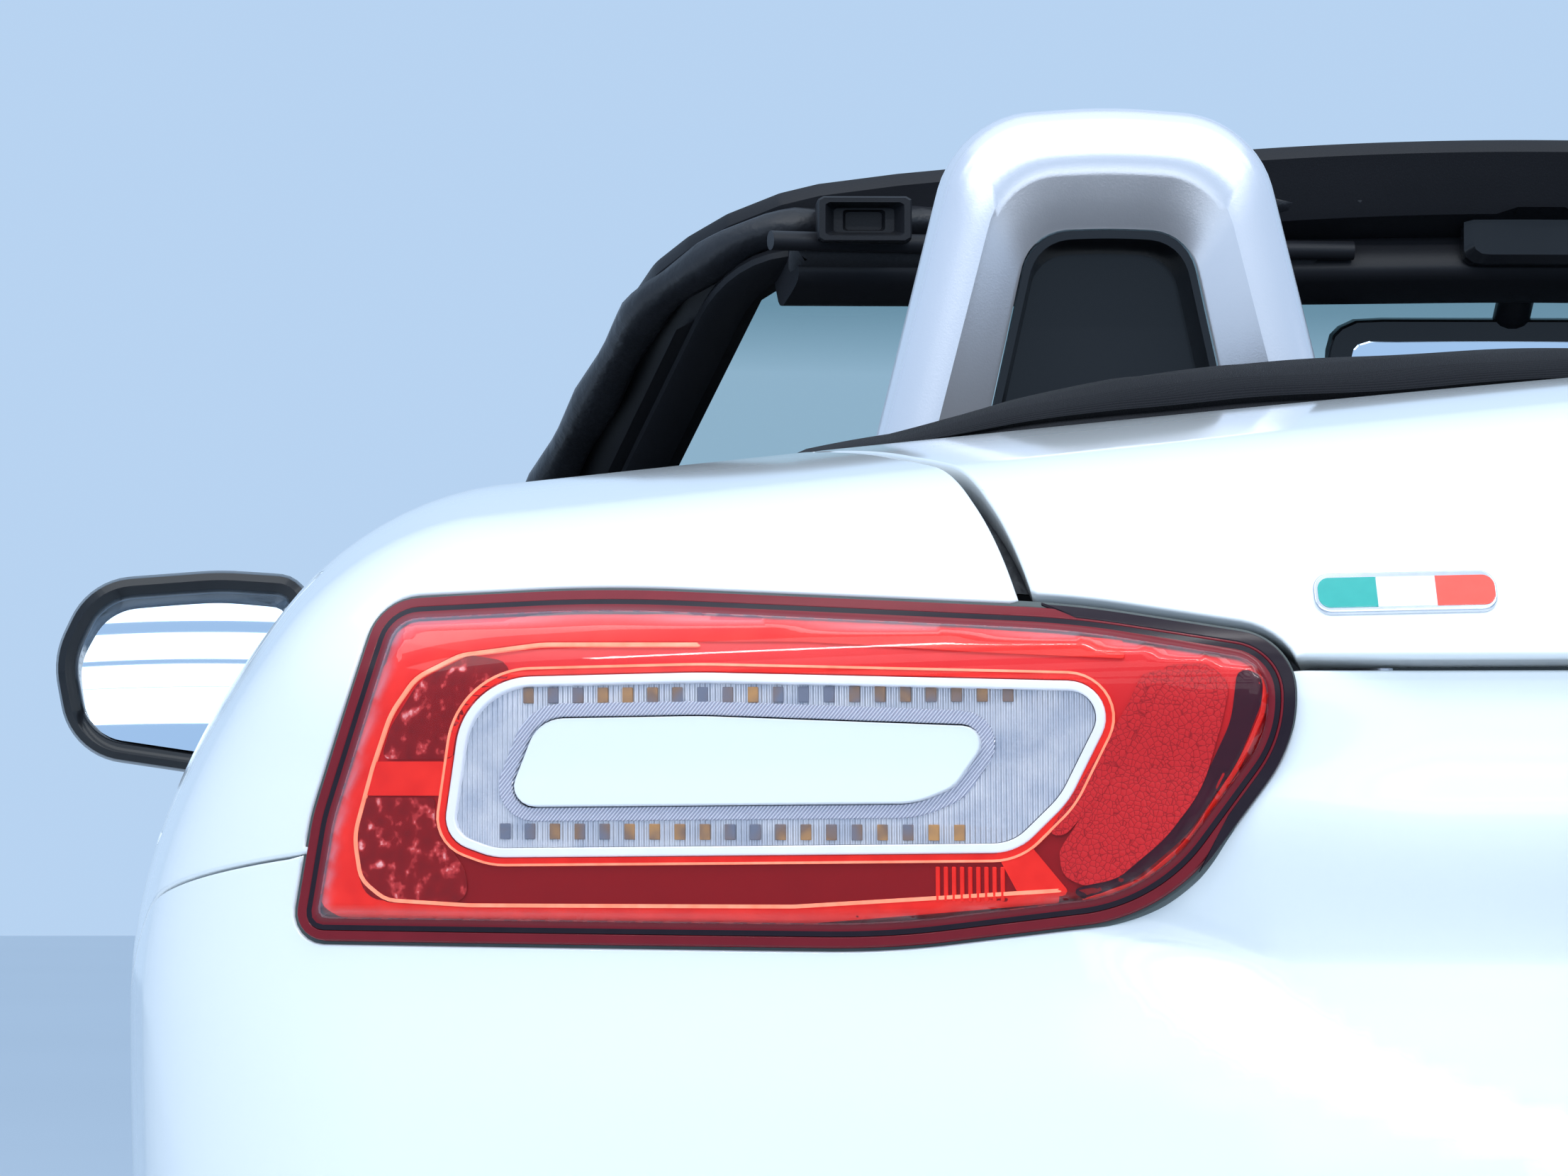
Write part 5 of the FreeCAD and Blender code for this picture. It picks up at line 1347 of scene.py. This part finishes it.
# Wipers. Two black steel arms turn on hubs in the cowl, with rubber blades parked along the foot of the
# glass. Arm and blade are swept along their lines.
for name, x0, x1, pivot_x in (("long", 40.0, 545.0, 500.0), ("short", -500.0, -20.0, -60.0)):
    x = np.linspace(x0, x1, 40)
    blade = screen_away(places(x, 944 + 8 * ((x - x0) / (x1 - x0))), -9.0)
    arm_end = blade[20] + (0, -2, 4)
    foot = on_top(pivot_x, -556.0) + (0, 0, 12)
    t = np.linspace(0, 1, 24)[:, None]
    arm = foot + (arm_end - foot) * t + np.array((0, 0, 9.0)) * np.sin(math.pi * t)
    hub = turned(foot, (0, 0, 1), [(-16, 17), (2, 17), (8, 14), (10, 8)], 24)
    blade, arm = swept(blade, oval(3.0, 8.0, 10), (0, 0, 1)), swept(arm, oval(7.0, 3.5, 12, 2.6), (0, 0, 1))
    wiper = joined(blade, arm, hub)
    piece("wiper_" + name, wiper, black_trim, "black_trim")


# Number plate. A blank pressed sheet of aluminium with a raised edge lies in a black holder. Its two screw
# holes are open.
plate_finish = mottled(
    "plate", 25.0, 3.0, (0.74, 0.75, 0.74), (0.82, 0.83, 0.82), grain=(1500.0, 2.0, 0.00003), Roughness=0.35)
plate_half, plate_low, plate_high = 165, 612, 777
plate_y, holder_y = 1984.6, 1988
plate_line = rectangle(-plate_half, plate_low, plate_half, plate_high, 9, 5.0)


def plate_surface(flat):
    """The plate seen from behind, its middle raised a little over its edge."""
    x, z = -flat[:, 0], flat[:, 1]
    middle, half_height = (plate_low + plate_high) / 2, (plate_high - plate_low) / 2
    edge = np.minimum(plate_half - np.abs(x), half_height - np.abs(z - middle))
    return places(x, plate_y + 1.6 * plateau(edge, 1.0, 10.0, 3.0), z)


screw_x, screw_z, screw_radius = 105, 753, 3.5
turn = np.linspace(0, 2 * math.pi, 16, endpoint=False)
screw_holes = [places(x + screw_radius * np.cos(turn), screw_z + screw_radius * np.sin(turn))
               for x in (-screw_x, screw_x)]
plate = sheet(plate_surface, [plate_line] + screw_holes, [(0.6, 0), (0, 0.6), (0, 1.4)], 3.4, back=True)
piece("plate_blank", plate, plate_finish, "plate", "number_plate")
holder = sheet(lambda flat: places(-flat[:, 0], holder_y, flat[:, 1]),
               [grown(plate_line, 7.0), grown(plate_line, -2.0)], [(2, 0), (0.5, 0.6), (0, 2), (0, 20)], 8.0)
piece("plate_holder", holder, black_trim, "black_trim")


# Tyres. Rubber with four round grooves, cut shoulder blocks and finer cuts between them, and a ribbed
# sidewall, mounted on the rim. One profile is turned in steps, and pressed in at the cuts.
tyre_rubber = mottled(
    "tyre", 18.0, 5.0, (0.012, 0.012, 0.013), (0.035, 0.034, 0.034), grain=(600.0, 3.0, 0.0003),
    Roughness=lambda finish: finish.noise(12.0, 3.0) * 0.25 + 0.55)
half_tyre = [
    (94, 223, 0), (97.5, 227, 0), (98.5, 233, 0), (97.6, 235, 0), (100.5, 246, 0), (101.6, 262, 0),
    (101.2, 271, 0), (101.8, 273, 0), (100.8, 275, 0), (98.6, 287, 0), (96.6, 293, 1), (93.0, 299, 1),
    (88.0, 303, 1), (78.0, 305.8, 1), (63.0, 307.2, 1), (61.5, 300, 0), (54.0, 300, 0), (52.5, 307.4, 2),
    (38.0, 307.7, 2), (24.0, 307.9, 2), (22.5, 300, 0), (14.0, 300, 0), (12.5, 308, 0), (4.0, 308, 3),
    (0.0, 308, 3),
]
tyre_rows = half_tyre + [(-a, b, c) for a, b, c in half_tyre[-2::-1]]
blocks = 64
block_places = np.array([0.0, 0.10, 0.20, 0.30, 0.65])
turn = (np.arange(blocks)[:, None] + block_places).ravel() / blocks * 2 * math.pi
in_cut = np.isin(np.arange(len(turn)) % len(block_places), (1, 2))
cut_depth = [0.0, 6.0, 3.5, 0.0]
tyre_rings = []
for offset, radius, kind in tyre_rows:
    lead = 0.35 * np.abs(offset) / 100.0 * 2 * math.pi / blocks * (1 if kind else 0)
    r = radius - in_cut * cut_depth[kind]
    tyre_rings.append(places(offset, r * np.cos(turn + lead), r * np.sin(turn + lead)))
points, faces, normals = tube(tyre_rings, closed=True)
half_track = 750.0
tyre = (points + (half_track, 0, wheel_z), [f[1:] + f[:1] for f in faces], normals)


# Wheels. The cast alloy spokes keep their solids, in silver lacquer. A cap is pressed into the hub, and five
# bolts hold the wheel to it.
alloy = mottled(
    "alloy", 11.0, 4.0, (0.50, 0.51, 0.53), (0.64, 0.65, 0.67), Metallic=0.85, Coat_Weight=0.6,
    Coat_Roughness=0.08, Roughness=lambda finish: finish.noise(6.0, 3.0) * 0.12 + 0.22)
front_axle_y, bolt_circle = -1190, 49
cap_x = float(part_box("wheel_rear_left")[1][0]) * 1000 - 34.0
cap = turned((cap_x, 0, wheel_z), (1, 0, 0), [(-30, 30), (-6, 30), (-2, 29), (0, 26), (1.5, 18), (2, 6)])
for k in range(5):
    a = 2 * math.pi * (k + 0.5) / 5
    bolt_at = (cap_x - 8, bolt_circle * math.cos(a), wheel_z + bolt_circle * math.sin(a))
    cap = joined(cap, turned(bolt_at, (1, 0, 0), [(-22, 9.5), (4, 9.5), (6, 7.5), (6, 5), (-2, 4.5)], 6))
for side in ("left", "right"):
    for end, y in (("front", front_axle_y), ("rear", axle_y)):
        name = end + "_" + side
        coat(alloy, "wheel_" + name)
        own_tyre, own_cap = [(points + (0, y, 0), faces, normals) for points, faces, normals in (tyre, cap)]
        if side == "right":
            own_tyre, own_cap = mirrored(*own_tyre), mirrored(*own_cap)
        piece("tyre_tread_" + name, own_tyre, tyre_rubber, "tyre", "tyre_" + name, body="wheel_" + name,
              sharp=32.0)
        piece("wheel_cap_" + name, own_cap, alloy, "alloy", body="wheel_" + name, sharp=30.0)


# Underbody, engine, suspension and exhaust. Grey primed sheet with road dust, rough cast aluminium, forged
# iron with a breath of rust, and stainless pipe.
primed = Finish("body_steel")
dust = primed.noise(7.0, 6.0)
primed = primed.done(
    Base_Color=primed.ramp(
        dust, (0.3, (0.17, 0.18, 0.19)), (0.55, (0.30, 0.31, 0.31)), (0.75, (0.36, 0.34, 0.30))),
    Roughness=dust * 0.3 + 0.42, Normal=primed.bump(primed.noise(220.0, 3.0), 0.0003),
)
coat(primed, "floor_tub", "front_frame", "rear_frame")
cast = mottled(
    "cast", 14.0, 5.0, (0.26, 0.26, 0.26), (0.44, 0.44, 0.43), grain=(350.0, 4.0, 0.0006), Metallic=0.8,
    Roughness=0.5)
coat(cast, "engine_block")
iron = Finish("iron")
rust = iron.noise(26.0, 6.0)
iron = iron.done(
    Base_Color=iron.ramp(
        rust, (0.45, (0.035, 0.035, 0.037)), (0.60, (0.07, 0.06, 0.055)), (0.72, (0.16, 0.07, 0.035))),
    Metallic=0.5, Roughness=rust * 0.4 + 0.35, Normal=iron.bump(rust, 0.0005),
)
coat(iron, "knuckle_left", "knuckle_right", "rear_axle", "front_arms")
steel = mottled(
    "steel", 4.0, 3.0, (0.36, 0.34, 0.31), (0.56, 0.55, 0.54), grain=(500.0, 2.0, 0.00005), Metallic=1.0,
    Roughness=lambda finish: finish.noise(4.0, 3.0) * 0.25 + 0.2)
coat(steel, "exhaust")
tip_rings = [(-150, 37), (-4, 37), (0, 38.5), (3, 38.5), (4, 36.5), (1, 35), (-150, 34.5)]
tip = turned((outlet_x, 2006, outlet_z), (0, 1, 0), tip_rings, 48, closed=True)
pair("exhaust_tips", tip, bright, "silver", sharp=30.0)


# Seats. Each has a cushion, a back and a head pad of leather over foam, sewn in cross channels, on steel
# rails. The covers are blown up a little by a cloth simulation, and the channels are pressed in after it.
leather = mottled(
    "leather", 6.0, 4.0, (0.020, 0.020, 0.022), (0.042, 0.041, 0.043), Sheen_Weight=0.1,
    Roughness=lambda finish: finish.noise(40.0, 3.0) * 0.2 + 0.36,
    Normal=lambda finish: finish.bump(finish.cells(520.0), 0.0004))
seat_x = 385.0


def vertices(mesh):
    """A mesh's points as an array."""
    found = np.empty(len(mesh.vertices) * 3)
    mesh.vertices.foreach_get("co", found)
    return found.reshape(-1, 3)


def stuffed(points, faces, farthest, voxel=9.0):
    """Blows a closed form up like a sewn cover over foam, no point farther than the given millimetres."""
    mesh = bpy.data.meshes.new("form")
    mesh.from_pydata((points * 0.001).tolist(), [], faces)
    form = bpy.data.objects.new("form", mesh)
    bpy.context.scene.collection.objects.link(form)
    remesh = form.modifiers.new("remesh", "REMESH")
    remesh.mode, remesh.voxel_size = "VOXEL", voxel * 0.001
    even = bpy.data.meshes.new_from_object(form.evaluated_get(bpy.context.evaluated_depsgraph_get()))
    form.modifiers.clear()
    form.data = even
    start = moved = vertices(even)
    cloth = form.modifiers.new("cover", "CLOTH")
    cloth.settings.use_pressure = True
    cloth.settings.uniform_pressure_force = 4.0
    cloth.settings.effector_weights.gravity = 0.0
    for count in range(1, 21):
        bpy.context.scene.frame_set(count)
    moved = vertices(form.evaluated_get(bpy.context.evaluated_depsgraph_get()).data)
    bpy.context.scene.frame_set(1)
    way = (moved - start) * 1000
    length = np.linalg.norm(way, axis=1, keepdims=True)
    way *= np.minimum(1.0, farthest / np.maximum(length, 1e-9))
    faces = [list(f.vertices) for f in even.polygons]
    bpy.data.objects.remove(form)
    return start * 1000 + way, faces


def pressed(points, faces, channels):
    """Sinks sewn channels into a stuffed form. channels(points, normals) gives the depth at each point."""
    corners = np.array([f[:3] for f in faces])
    p = points[corners]
    face_normal = np.cross(p[:, 1] - p[:, 0], p[:, 2] - p[:, 0])
    normal = np.zeros_like(points)
    for k in range(3):
        np.add.at(normal, corners[:, k], face_normal)
    normal /= np.linalg.norm(normal, axis=1, keepdims=True) + 1e-9
    return points - normal * channels(points, normal)[:, None]


def groove(at, place, width=7.0):
    """1 on a seam, falling off softly to both sides."""
    return np.exp(-((at - place) / width) ** 2)


def block_form(rings):
    """A closed lying form. The rings' columns are half width, half length, corner radius and height."""
    points, faces, _ = flipped(stepped((0, 0, 0), rings))
    return points[:, [0, 2, 1]], faces


pads = []
cushion_y, cushion_z, cushion_high = 90, 242, 66
points, faces = block_form([
    (196, 196, 60, 0), (214, 210, 70, 14), (218, 214, 72, 40), (206, 202, 70, 60),
    (120, 120, 60, cushion_high)])
points = points + (seat_x, cushion_y, cushion_z)
u = (points[:, 0] - seat_x) / 218
dish = 34 * u ** 4 - 8 * (1 - u * u) - 0.06 * (points[:, 1] - cushion_y)
points[:, 2] += (points[:, 2] - cushion_z) / cushion_high * dish
points, faces = stuffed(points, faces, 8.0)


def sewn(across, edge, along, seams, facing):
    """Depth of a seam down each side and of the seams between them, on the side that faces the sitter."""
    between = sum(groove(along, seam, 6.0) for seam in seams) * (across < edge)
    return (6.0 * groove(across, edge) + 4.0 * between) * smooth((facing - 0.3) / 0.3)


def cushion_channels(p, normal):
    return sewn(np.abs(p[:, 0] - seat_x), 138, p[:, 1], (-40, 30, 100, 170, 240), normal[:, 2])


pads.append(("seat_cushion", pressed(points, faces, cushion_channels), faces))
lean = math.atan2(170.0, 470.0)
back_up = np.array((0, math.sin(lean), math.cos(lean)))
back_out = np.array((0, -math.cos(lean), math.sin(lean)))
back_foot, head_foot = np.array((seat_x, 404.0, 508.0)), np.array((seat_x, 470.0, 874.0))


def leaned(points, faces, foot):
    """A lying form raised against the seat's back."""
    points = foot + points[:, :1] * (1, 0, 0) + points[:, 1:2] * back_up + points[:, 2:] * back_out
    return points, [f[::-1] for f in faces]


back_thick = 74
points, faces = block_form([
    (190, 250, 60, 0), (208, 266, 80, 16), (214, 270, 84, 42), (200, 256, 80, 66),
    (110, 170, 60, back_thick)])
u = points[:, 0] / 214
points[:, 0] *= 1 - 0.16 * (points[:, 1] / 270)
points[:, 2] += points[:, 2] / back_thick * (30 * u ** 4 - 6 * (1 - u * u))
points, faces = stuffed(*leaned(points, faces, back_foot), 8.0)


def back_channels(p, normal):
    local = p - back_foot
    return sewn(np.abs(local[:, 0]), 128, local @ back_up, (-160, -90, -20, 50, 120), normal @ back_out)


pads.append(("seat_back", pressed(points, faces, back_channels), faces))
points, faces = block_form([
    (96, 62, 30, 0), (112, 76, 36, 12), (116, 80, 38, 30), (106, 70, 34, 48), (60, 40, 24, 53)])
points, faces = stuffed(*leaned(points, faces, head_foot), 6.0)
head = pressed(points, faces, lambda p, normal: 4.0 * groove((p - head_foot) @ back_up, -46, 6.0))
pads.append(("seat_head", head, faces))
for name, points, faces in pads:
    for side, hand in (("left", 1), ("right", -1)):
        own_faces = faces if hand > 0 else [f[::-1] for f in faces]
        nodes = ["seat_" + side] if name == "seat_cushion" else []
        pad = (points * (hand, 1, 1), own_faces)
        made = piece(name + "_" + side, pad, leather, "seat_cloth", *nodes, sharp=80.0)

rails = []
for x in (210.0, 560.0):
    y = np.linspace(-70, 350, 30)
    rails.append(swept(places(x, y, 181), oval(17, 8, 16, 5.0), (0, 0, 1)))
    rails.append(swept(places(x, y, 214 + 10 * np.cos((y - 140) / 90)), oval(5, 26, 16, 4.0), (0, 0, 1)))
rails.append(swept(places(np.linspace(205, 565, 20), 120, 226), oval(16, 9, 16, 4.0), (0, 0, 1)))
for x in (338.0, 432.0):
    post = np.array((x, 456.0, 812.0)) + back_up * np.linspace(-140, 20, 12)[:, None] * 0.6
    rails.append(swept(post, oval(6, 6, 14), (0, -1, 0)))
pair("seat_rails", joined(*rails), steel, "steel")
back_line = rounded([(-176, -250, 60), (176, -250, 60), (150, 262, 70), (-150, 262, 70)], 10.0)
back_shell = sheet(lambda flat: back_foot - 2 * back_out + flat[:, :1] * (-1, 0, 0) + flat[:, 1:] * back_up,
                   [back_line], [(14, 0), (5, 3), (1, 9), (0, 14)], 18.0)
pair("seat_shell", back_shell, black_trim, "black_trim")


# Dashboard. A grained black moulding from door to door, screwed to the bulkhead, with a hood over the dials.
# Round air vents, a screen and the glove box lid are let into it.
dash_line = rounded([
    (-640, 560, 10), (-640, 835, 20), (-560, 862, 30), (-330, 850, 40), (-300, 760, 40), (-360, 560, 30)],
    9.0)
dash_rings = []
for x in np.linspace(-720, 720, 97):
    y, z = dash_line[:, 0].copy(), dash_line[:, 1].copy()
    hood = plateau(x, 175.0, 565.0, 90.0)
    z += 30 * hood * smooth((y + 470) / 90) * smooth((z - 800) / 40)
    brow = 26 * smooth((z - 835) / 20) * smooth((y + 400) / 60)
    y += hood * brow - 14 * hood * plateau(z, 700, 850, 30) * (y > -380)
    y += 10 * plateau(x, -150.0, 150.0, 40.0) * smooth((y + 420) / 60) * plateau(z, 560, 850, 30)
    y -= 12 * smooth((abs(x) - 640) / 80) * smooth((y + 420) / 60)
    dash_rings.append(places(x, y, z))
piece("dash_moulding", tube(dash_rings), black_trim, "black_trim", "dashboard", sharp=50.0)
vent_z, vent_radius = 800, 31
vents = []
for x in (-615.0, -85.0, 85.0, 640.0):
    ring = [(-8, 40), (6, 40), (9, 37), (9, 33), (2, vent_radius), (-8, vent_radius)]
    vents.append(turned((x, -309, vent_z), (0, 1, 0.05), ring, 36))
    for z in (-18, -6, 6, 18):
        wide = math.sqrt(vent_radius ** 2 - z * z)
        slat = places(np.linspace(x - wide, x + wide, 8), -304, vent_z + z)
        vents.append(swept(slat, oval(4, 1.2, 8), (0, 0.3, 1)))
piece("dash_vents", joined(*vents), gloss_black, "gloss_black", sharp=30.0)
dials = []
for x, size in ((300.0, 42.0), (370.0, 52.0), (440.0, 42.0)):
    ring = [(-6, size), (8, size), (9, size - 2), (8, size - 4), (0, size - 5), (0, 4)]
    dials.append(turned((x, -316, 792), (0, 1, 0.1), ring))
piece("dash_dials", joined(*dials), gloss_black, "gloss_black", sharp=30.0)
panel = stepped((0, -290, 800), [(48, 34, 6, -16), (48, 34, 6, 6), (46, 32, 5, 8), (44, 30, 4, 7)])
piece("dash_screen", panel, gloss_black, "gloss_black", sharp=30.0)
glove_lid = stepped((-380, -322, 700), [(190, 44, 12, -10), (190, 44, 12, 14), (187, 41, 10, 17)])
piece("glove_lid", glove_lid, black_trim, "black_trim", sharp=30.0)


# Steering wheel. A leather rim with thumb rests, three silver spokes and a moulded round pad sit on the
# covered column, which holds a lever on each side.
tilt = math.radians(24)
column_axis = np.array((0.0, math.cos(tilt), math.sin(tilt)))
wheel_up, wheel_right = np.array((0.0, -math.sin(tilt), math.cos(tilt))), np.array((1.0, 0, 0))
wheel_centre, rim_radius = np.array((370.0, -206.0, 690.0)), 176
t = np.linspace(0, 2 * math.pi, 120, endpoint=False)
rim_path = wheel_centre + rim_radius * (np.cos(t)[:, None] * wheel_right + np.sin(t)[:, None] * wheel_up)
thumb = 0
for angle in (24, 156):
    away = np.mod(t - math.radians(angle) + math.pi, 2 * math.pi) - math.pi
    thumb = thumb + groove(away, 0, 0.14)
rim = swept(rim_path, [oval(14.5 + 2.2 * b, 13.5 + 3.0 * b, 16, 2.2) for b in thumb], column_axis,
            closed=True)
piece("wheel_rim_cover", rim, leather, "rubber", "steering_wheel", sharp=60.0)
spoke_start, spoke_end = 36, 170
spokes = []
for angle in (8, 172, 270):
    angle = math.radians(angle)
    way = math.cos(angle) * wheel_right + math.sin(angle) * wheel_up
    reach = np.linspace(spoke_start, spoke_end, 20)
    share = (reach - spoke_start) / (spoke_end - spoke_start)
    path = wheel_centre + reach[:, None] * way - (14 * (1 - share))[:, None] * column_axis
    spokes.append(swept(path, [oval(wide, 5.5, 16, 3.0) for wide in 17 - 5 * np.sin(math.pi * share)],
                        column_axis))
piece("wheel_spokes", joined(*spokes), silver, "silver")
pad_rings = [(-34, 44), (-30, 58), (-12, 62), (-2, 60), (4, 52), (8, 36), (9.5, 12)]
piece("wheel_pad", turned(wheel_centre, column_axis, pad_rings, 48), black_trim, "black_trim", sharp=60.0)
back = np.linspace(-230, -32, 20)
column_sections = [oval(34 + 0.03 * -b, 36 + 0.06 * -b, 20, 2.8) for b in back]
column = [swept(wheel_centre + back[:, None] * column_axis, column_sections, (0, 0, 1))]
for hand in (1, -1):
    along, rise = np.linspace(30, 150, 12) * hand, np.linspace(0, 16, 12)
    lever = wheel_centre - column_axis * 58 + places(along, 0, rise)
    column.append(swept(lever, oval(6, 9, 12), (0, 0, 1)))
piece("column_cover", joined(*column), black_trim, "black_trim", sharp=50.0)


# Centre console. A long black moulding, clipped over the tunnel, with a gear lever in its rubber gaiter, a
# leather hand brake and two silver cup wells.
console_rings = [
    (100, 545, 30, 0), (100, 545, 30, 84), (98, 543, 28, 92), (94, 539, 26, 96), (70, 515, 20, 97),
    (66, 511, 18, 92), (60, 505, 14, 91)]
points, faces = block_form(console_rings)
console = (points + (0, 155, 341), faces)
piece("console_moulding", console, black_trim, "black_trim", "centre_console", sharp=30.0)
gaiter_rings = [(0, 46), (2, 50), (6, 46), (14, 47), (20, 40), (28, 41), (34, 33), (42, 33), (48, 25),
                (56, 24), (62, 16), (96, 12), (98, 10)]
knob_rings = [(92, 8), (94, 13), (104, 20), (116, 24), (128, 24), (138, 20), (144, 11), (145, 3)]
gear_foot, gear_lean = (0, -150, 430), (0, 0.12, 1)
gaiter, knob = [turned(gear_foot, gear_lean, rings, 32) for rings in (gaiter_rings, knob_rings)]
piece("gear_gaiter", gaiter, rubber, "rubber", sharp=60.0)
piece("gear_knob", knob, gloss_black, "gloss_black", sharp=60.0)
brake_y = np.linspace(250, 20, 30)
brake = places(52, brake_y, np.interp(brake_y, [20, 120, 250], [484, 468, 436]))
grips = [11 + 3 * (y < 110) for y in brake_y]
brake = swept(brake, [oval(grip, grip, 14, 2.3) for grip in grips], (0, 0, 1))
piece("hand_brake", brake, leather, "black_trim")
well_rings = [(-2, 34), (6, 36), (8, 34), (6, 31), (-2, 30)]
wells = joined(*[turned((-40, y, 434), (0, 0, 1), well_rings, 36) for y in (40.0, 130.0)])
piece("cup_wells", wells, silver, "silver", sharp=30.0)


# Floor mats. One of ribbed moulded rubber lies loose in each footwell, in slight waves, with its edge rolled
# down.
mat_rubber = mottled(
    "mat", 20.0, 4.0, (0.012, 0.012, 0.013), (0.03, 0.03, 0.03), Roughness=0.75,
    Normal=lambda finish: finish.bump(finish.waves(finish.place(1), 0.009), 0.0015))
mat_line = rounded([(150, -580, 40), (600, -580, 60), (620, -160, 50), (150, -160, 40)], 12.0)
mat = sheet(lambda flat: places(flat[:, 0], flat[:, 1], 179 + 3 * np.sin(flat[:, 1] / 40)), [mat_line],
            [(2, 0), (0.5, 0.6), (0, 2), (0, 5)], 14.0, back=True)
pair("foot_mats", mat, mat_rubber, "rubber")


# Floor, light and camera. The car stands on a plain pale floor in a hall, under a wide soft ceiling of light
# and a row of tubes. The camera looks at its left rear quarter through a long lens.
bpy.ops.mesh.primitive_plane_add(size=60.0, location=(0, 0, 0))
floor = bpy.context.object
floor.name = "floor"
ground = mottled("floor", 0.4, 2.0, (0.70, 0.74, 0.78), (0.74, 0.78, 0.82), Roughness=0.6)
floor.data.materials.append(ground)

world = bpy.data.worlds.new("room")
world.use_nodes = True
backdrop = world.node_tree.nodes["Background"].inputs
backdrop["Color"].default_value = (0.52, 0.71, 0.96, 1.0)
backdrop["Strength"].default_value = 0.92
bpy.context.scene.world = world


def light_over(name, place, aim, size, power, colour=(1.0, 1.0, 1.0)):
    """A rectangular lamp, turned to a point that it lights."""
    light = bpy.data.lights.new(name, "AREA")
    light.shape, light.size, light.size_y = "RECTANGLE", size[0], size[1]
    light.energy, light.color = power, colour
    holder = bpy.data.objects.new(name, light)
    holder.location = place
    holder.rotation_euler = (Vector(aim) - Vector(place)).to_track_quat("-Z", "Y").to_euler()
    holder.visible_camera = False
    bpy.context.scene.collection.objects.link(holder)


light_over("ceiling", (0.0, 1.0, 5.5), (0.0, 1.0, 0.0), (9.0, 9.0), 100.0, (1.0, 1.0, 0.98))
light_over("edge", (0.5, 2.65, 3.0), (0.5, 1.9, 0.8), (4.0, 0.07), 30.0)
for k in range(8):
    light_over("tube_%d" % k, (0.4, 1.2 + 1.5 * k, 4.2), (0.4, 1.0 + 1.2 * k, 0.0), (9.0, 0.7), 30.0,
               (0.97, 1.0, 1.0))
bpy.context.scene.view_settings.view_transform = "Standard"

camera = bpy.data.objects.new("camera", bpy.data.cameras.new("camera"))
camera.data.sensor_width = 36.0
camera.data.lens = 177.4
camera.location = (0.680, 5.200, 0.7666)
camera.rotation_euler = Vector((-0.03486, -1.0, 0.02317)).to_track_quat("-Z", "Y").to_euler()
bpy.context.scene.collection.objects.link(camera)
bpy.context.scene.camera = camera
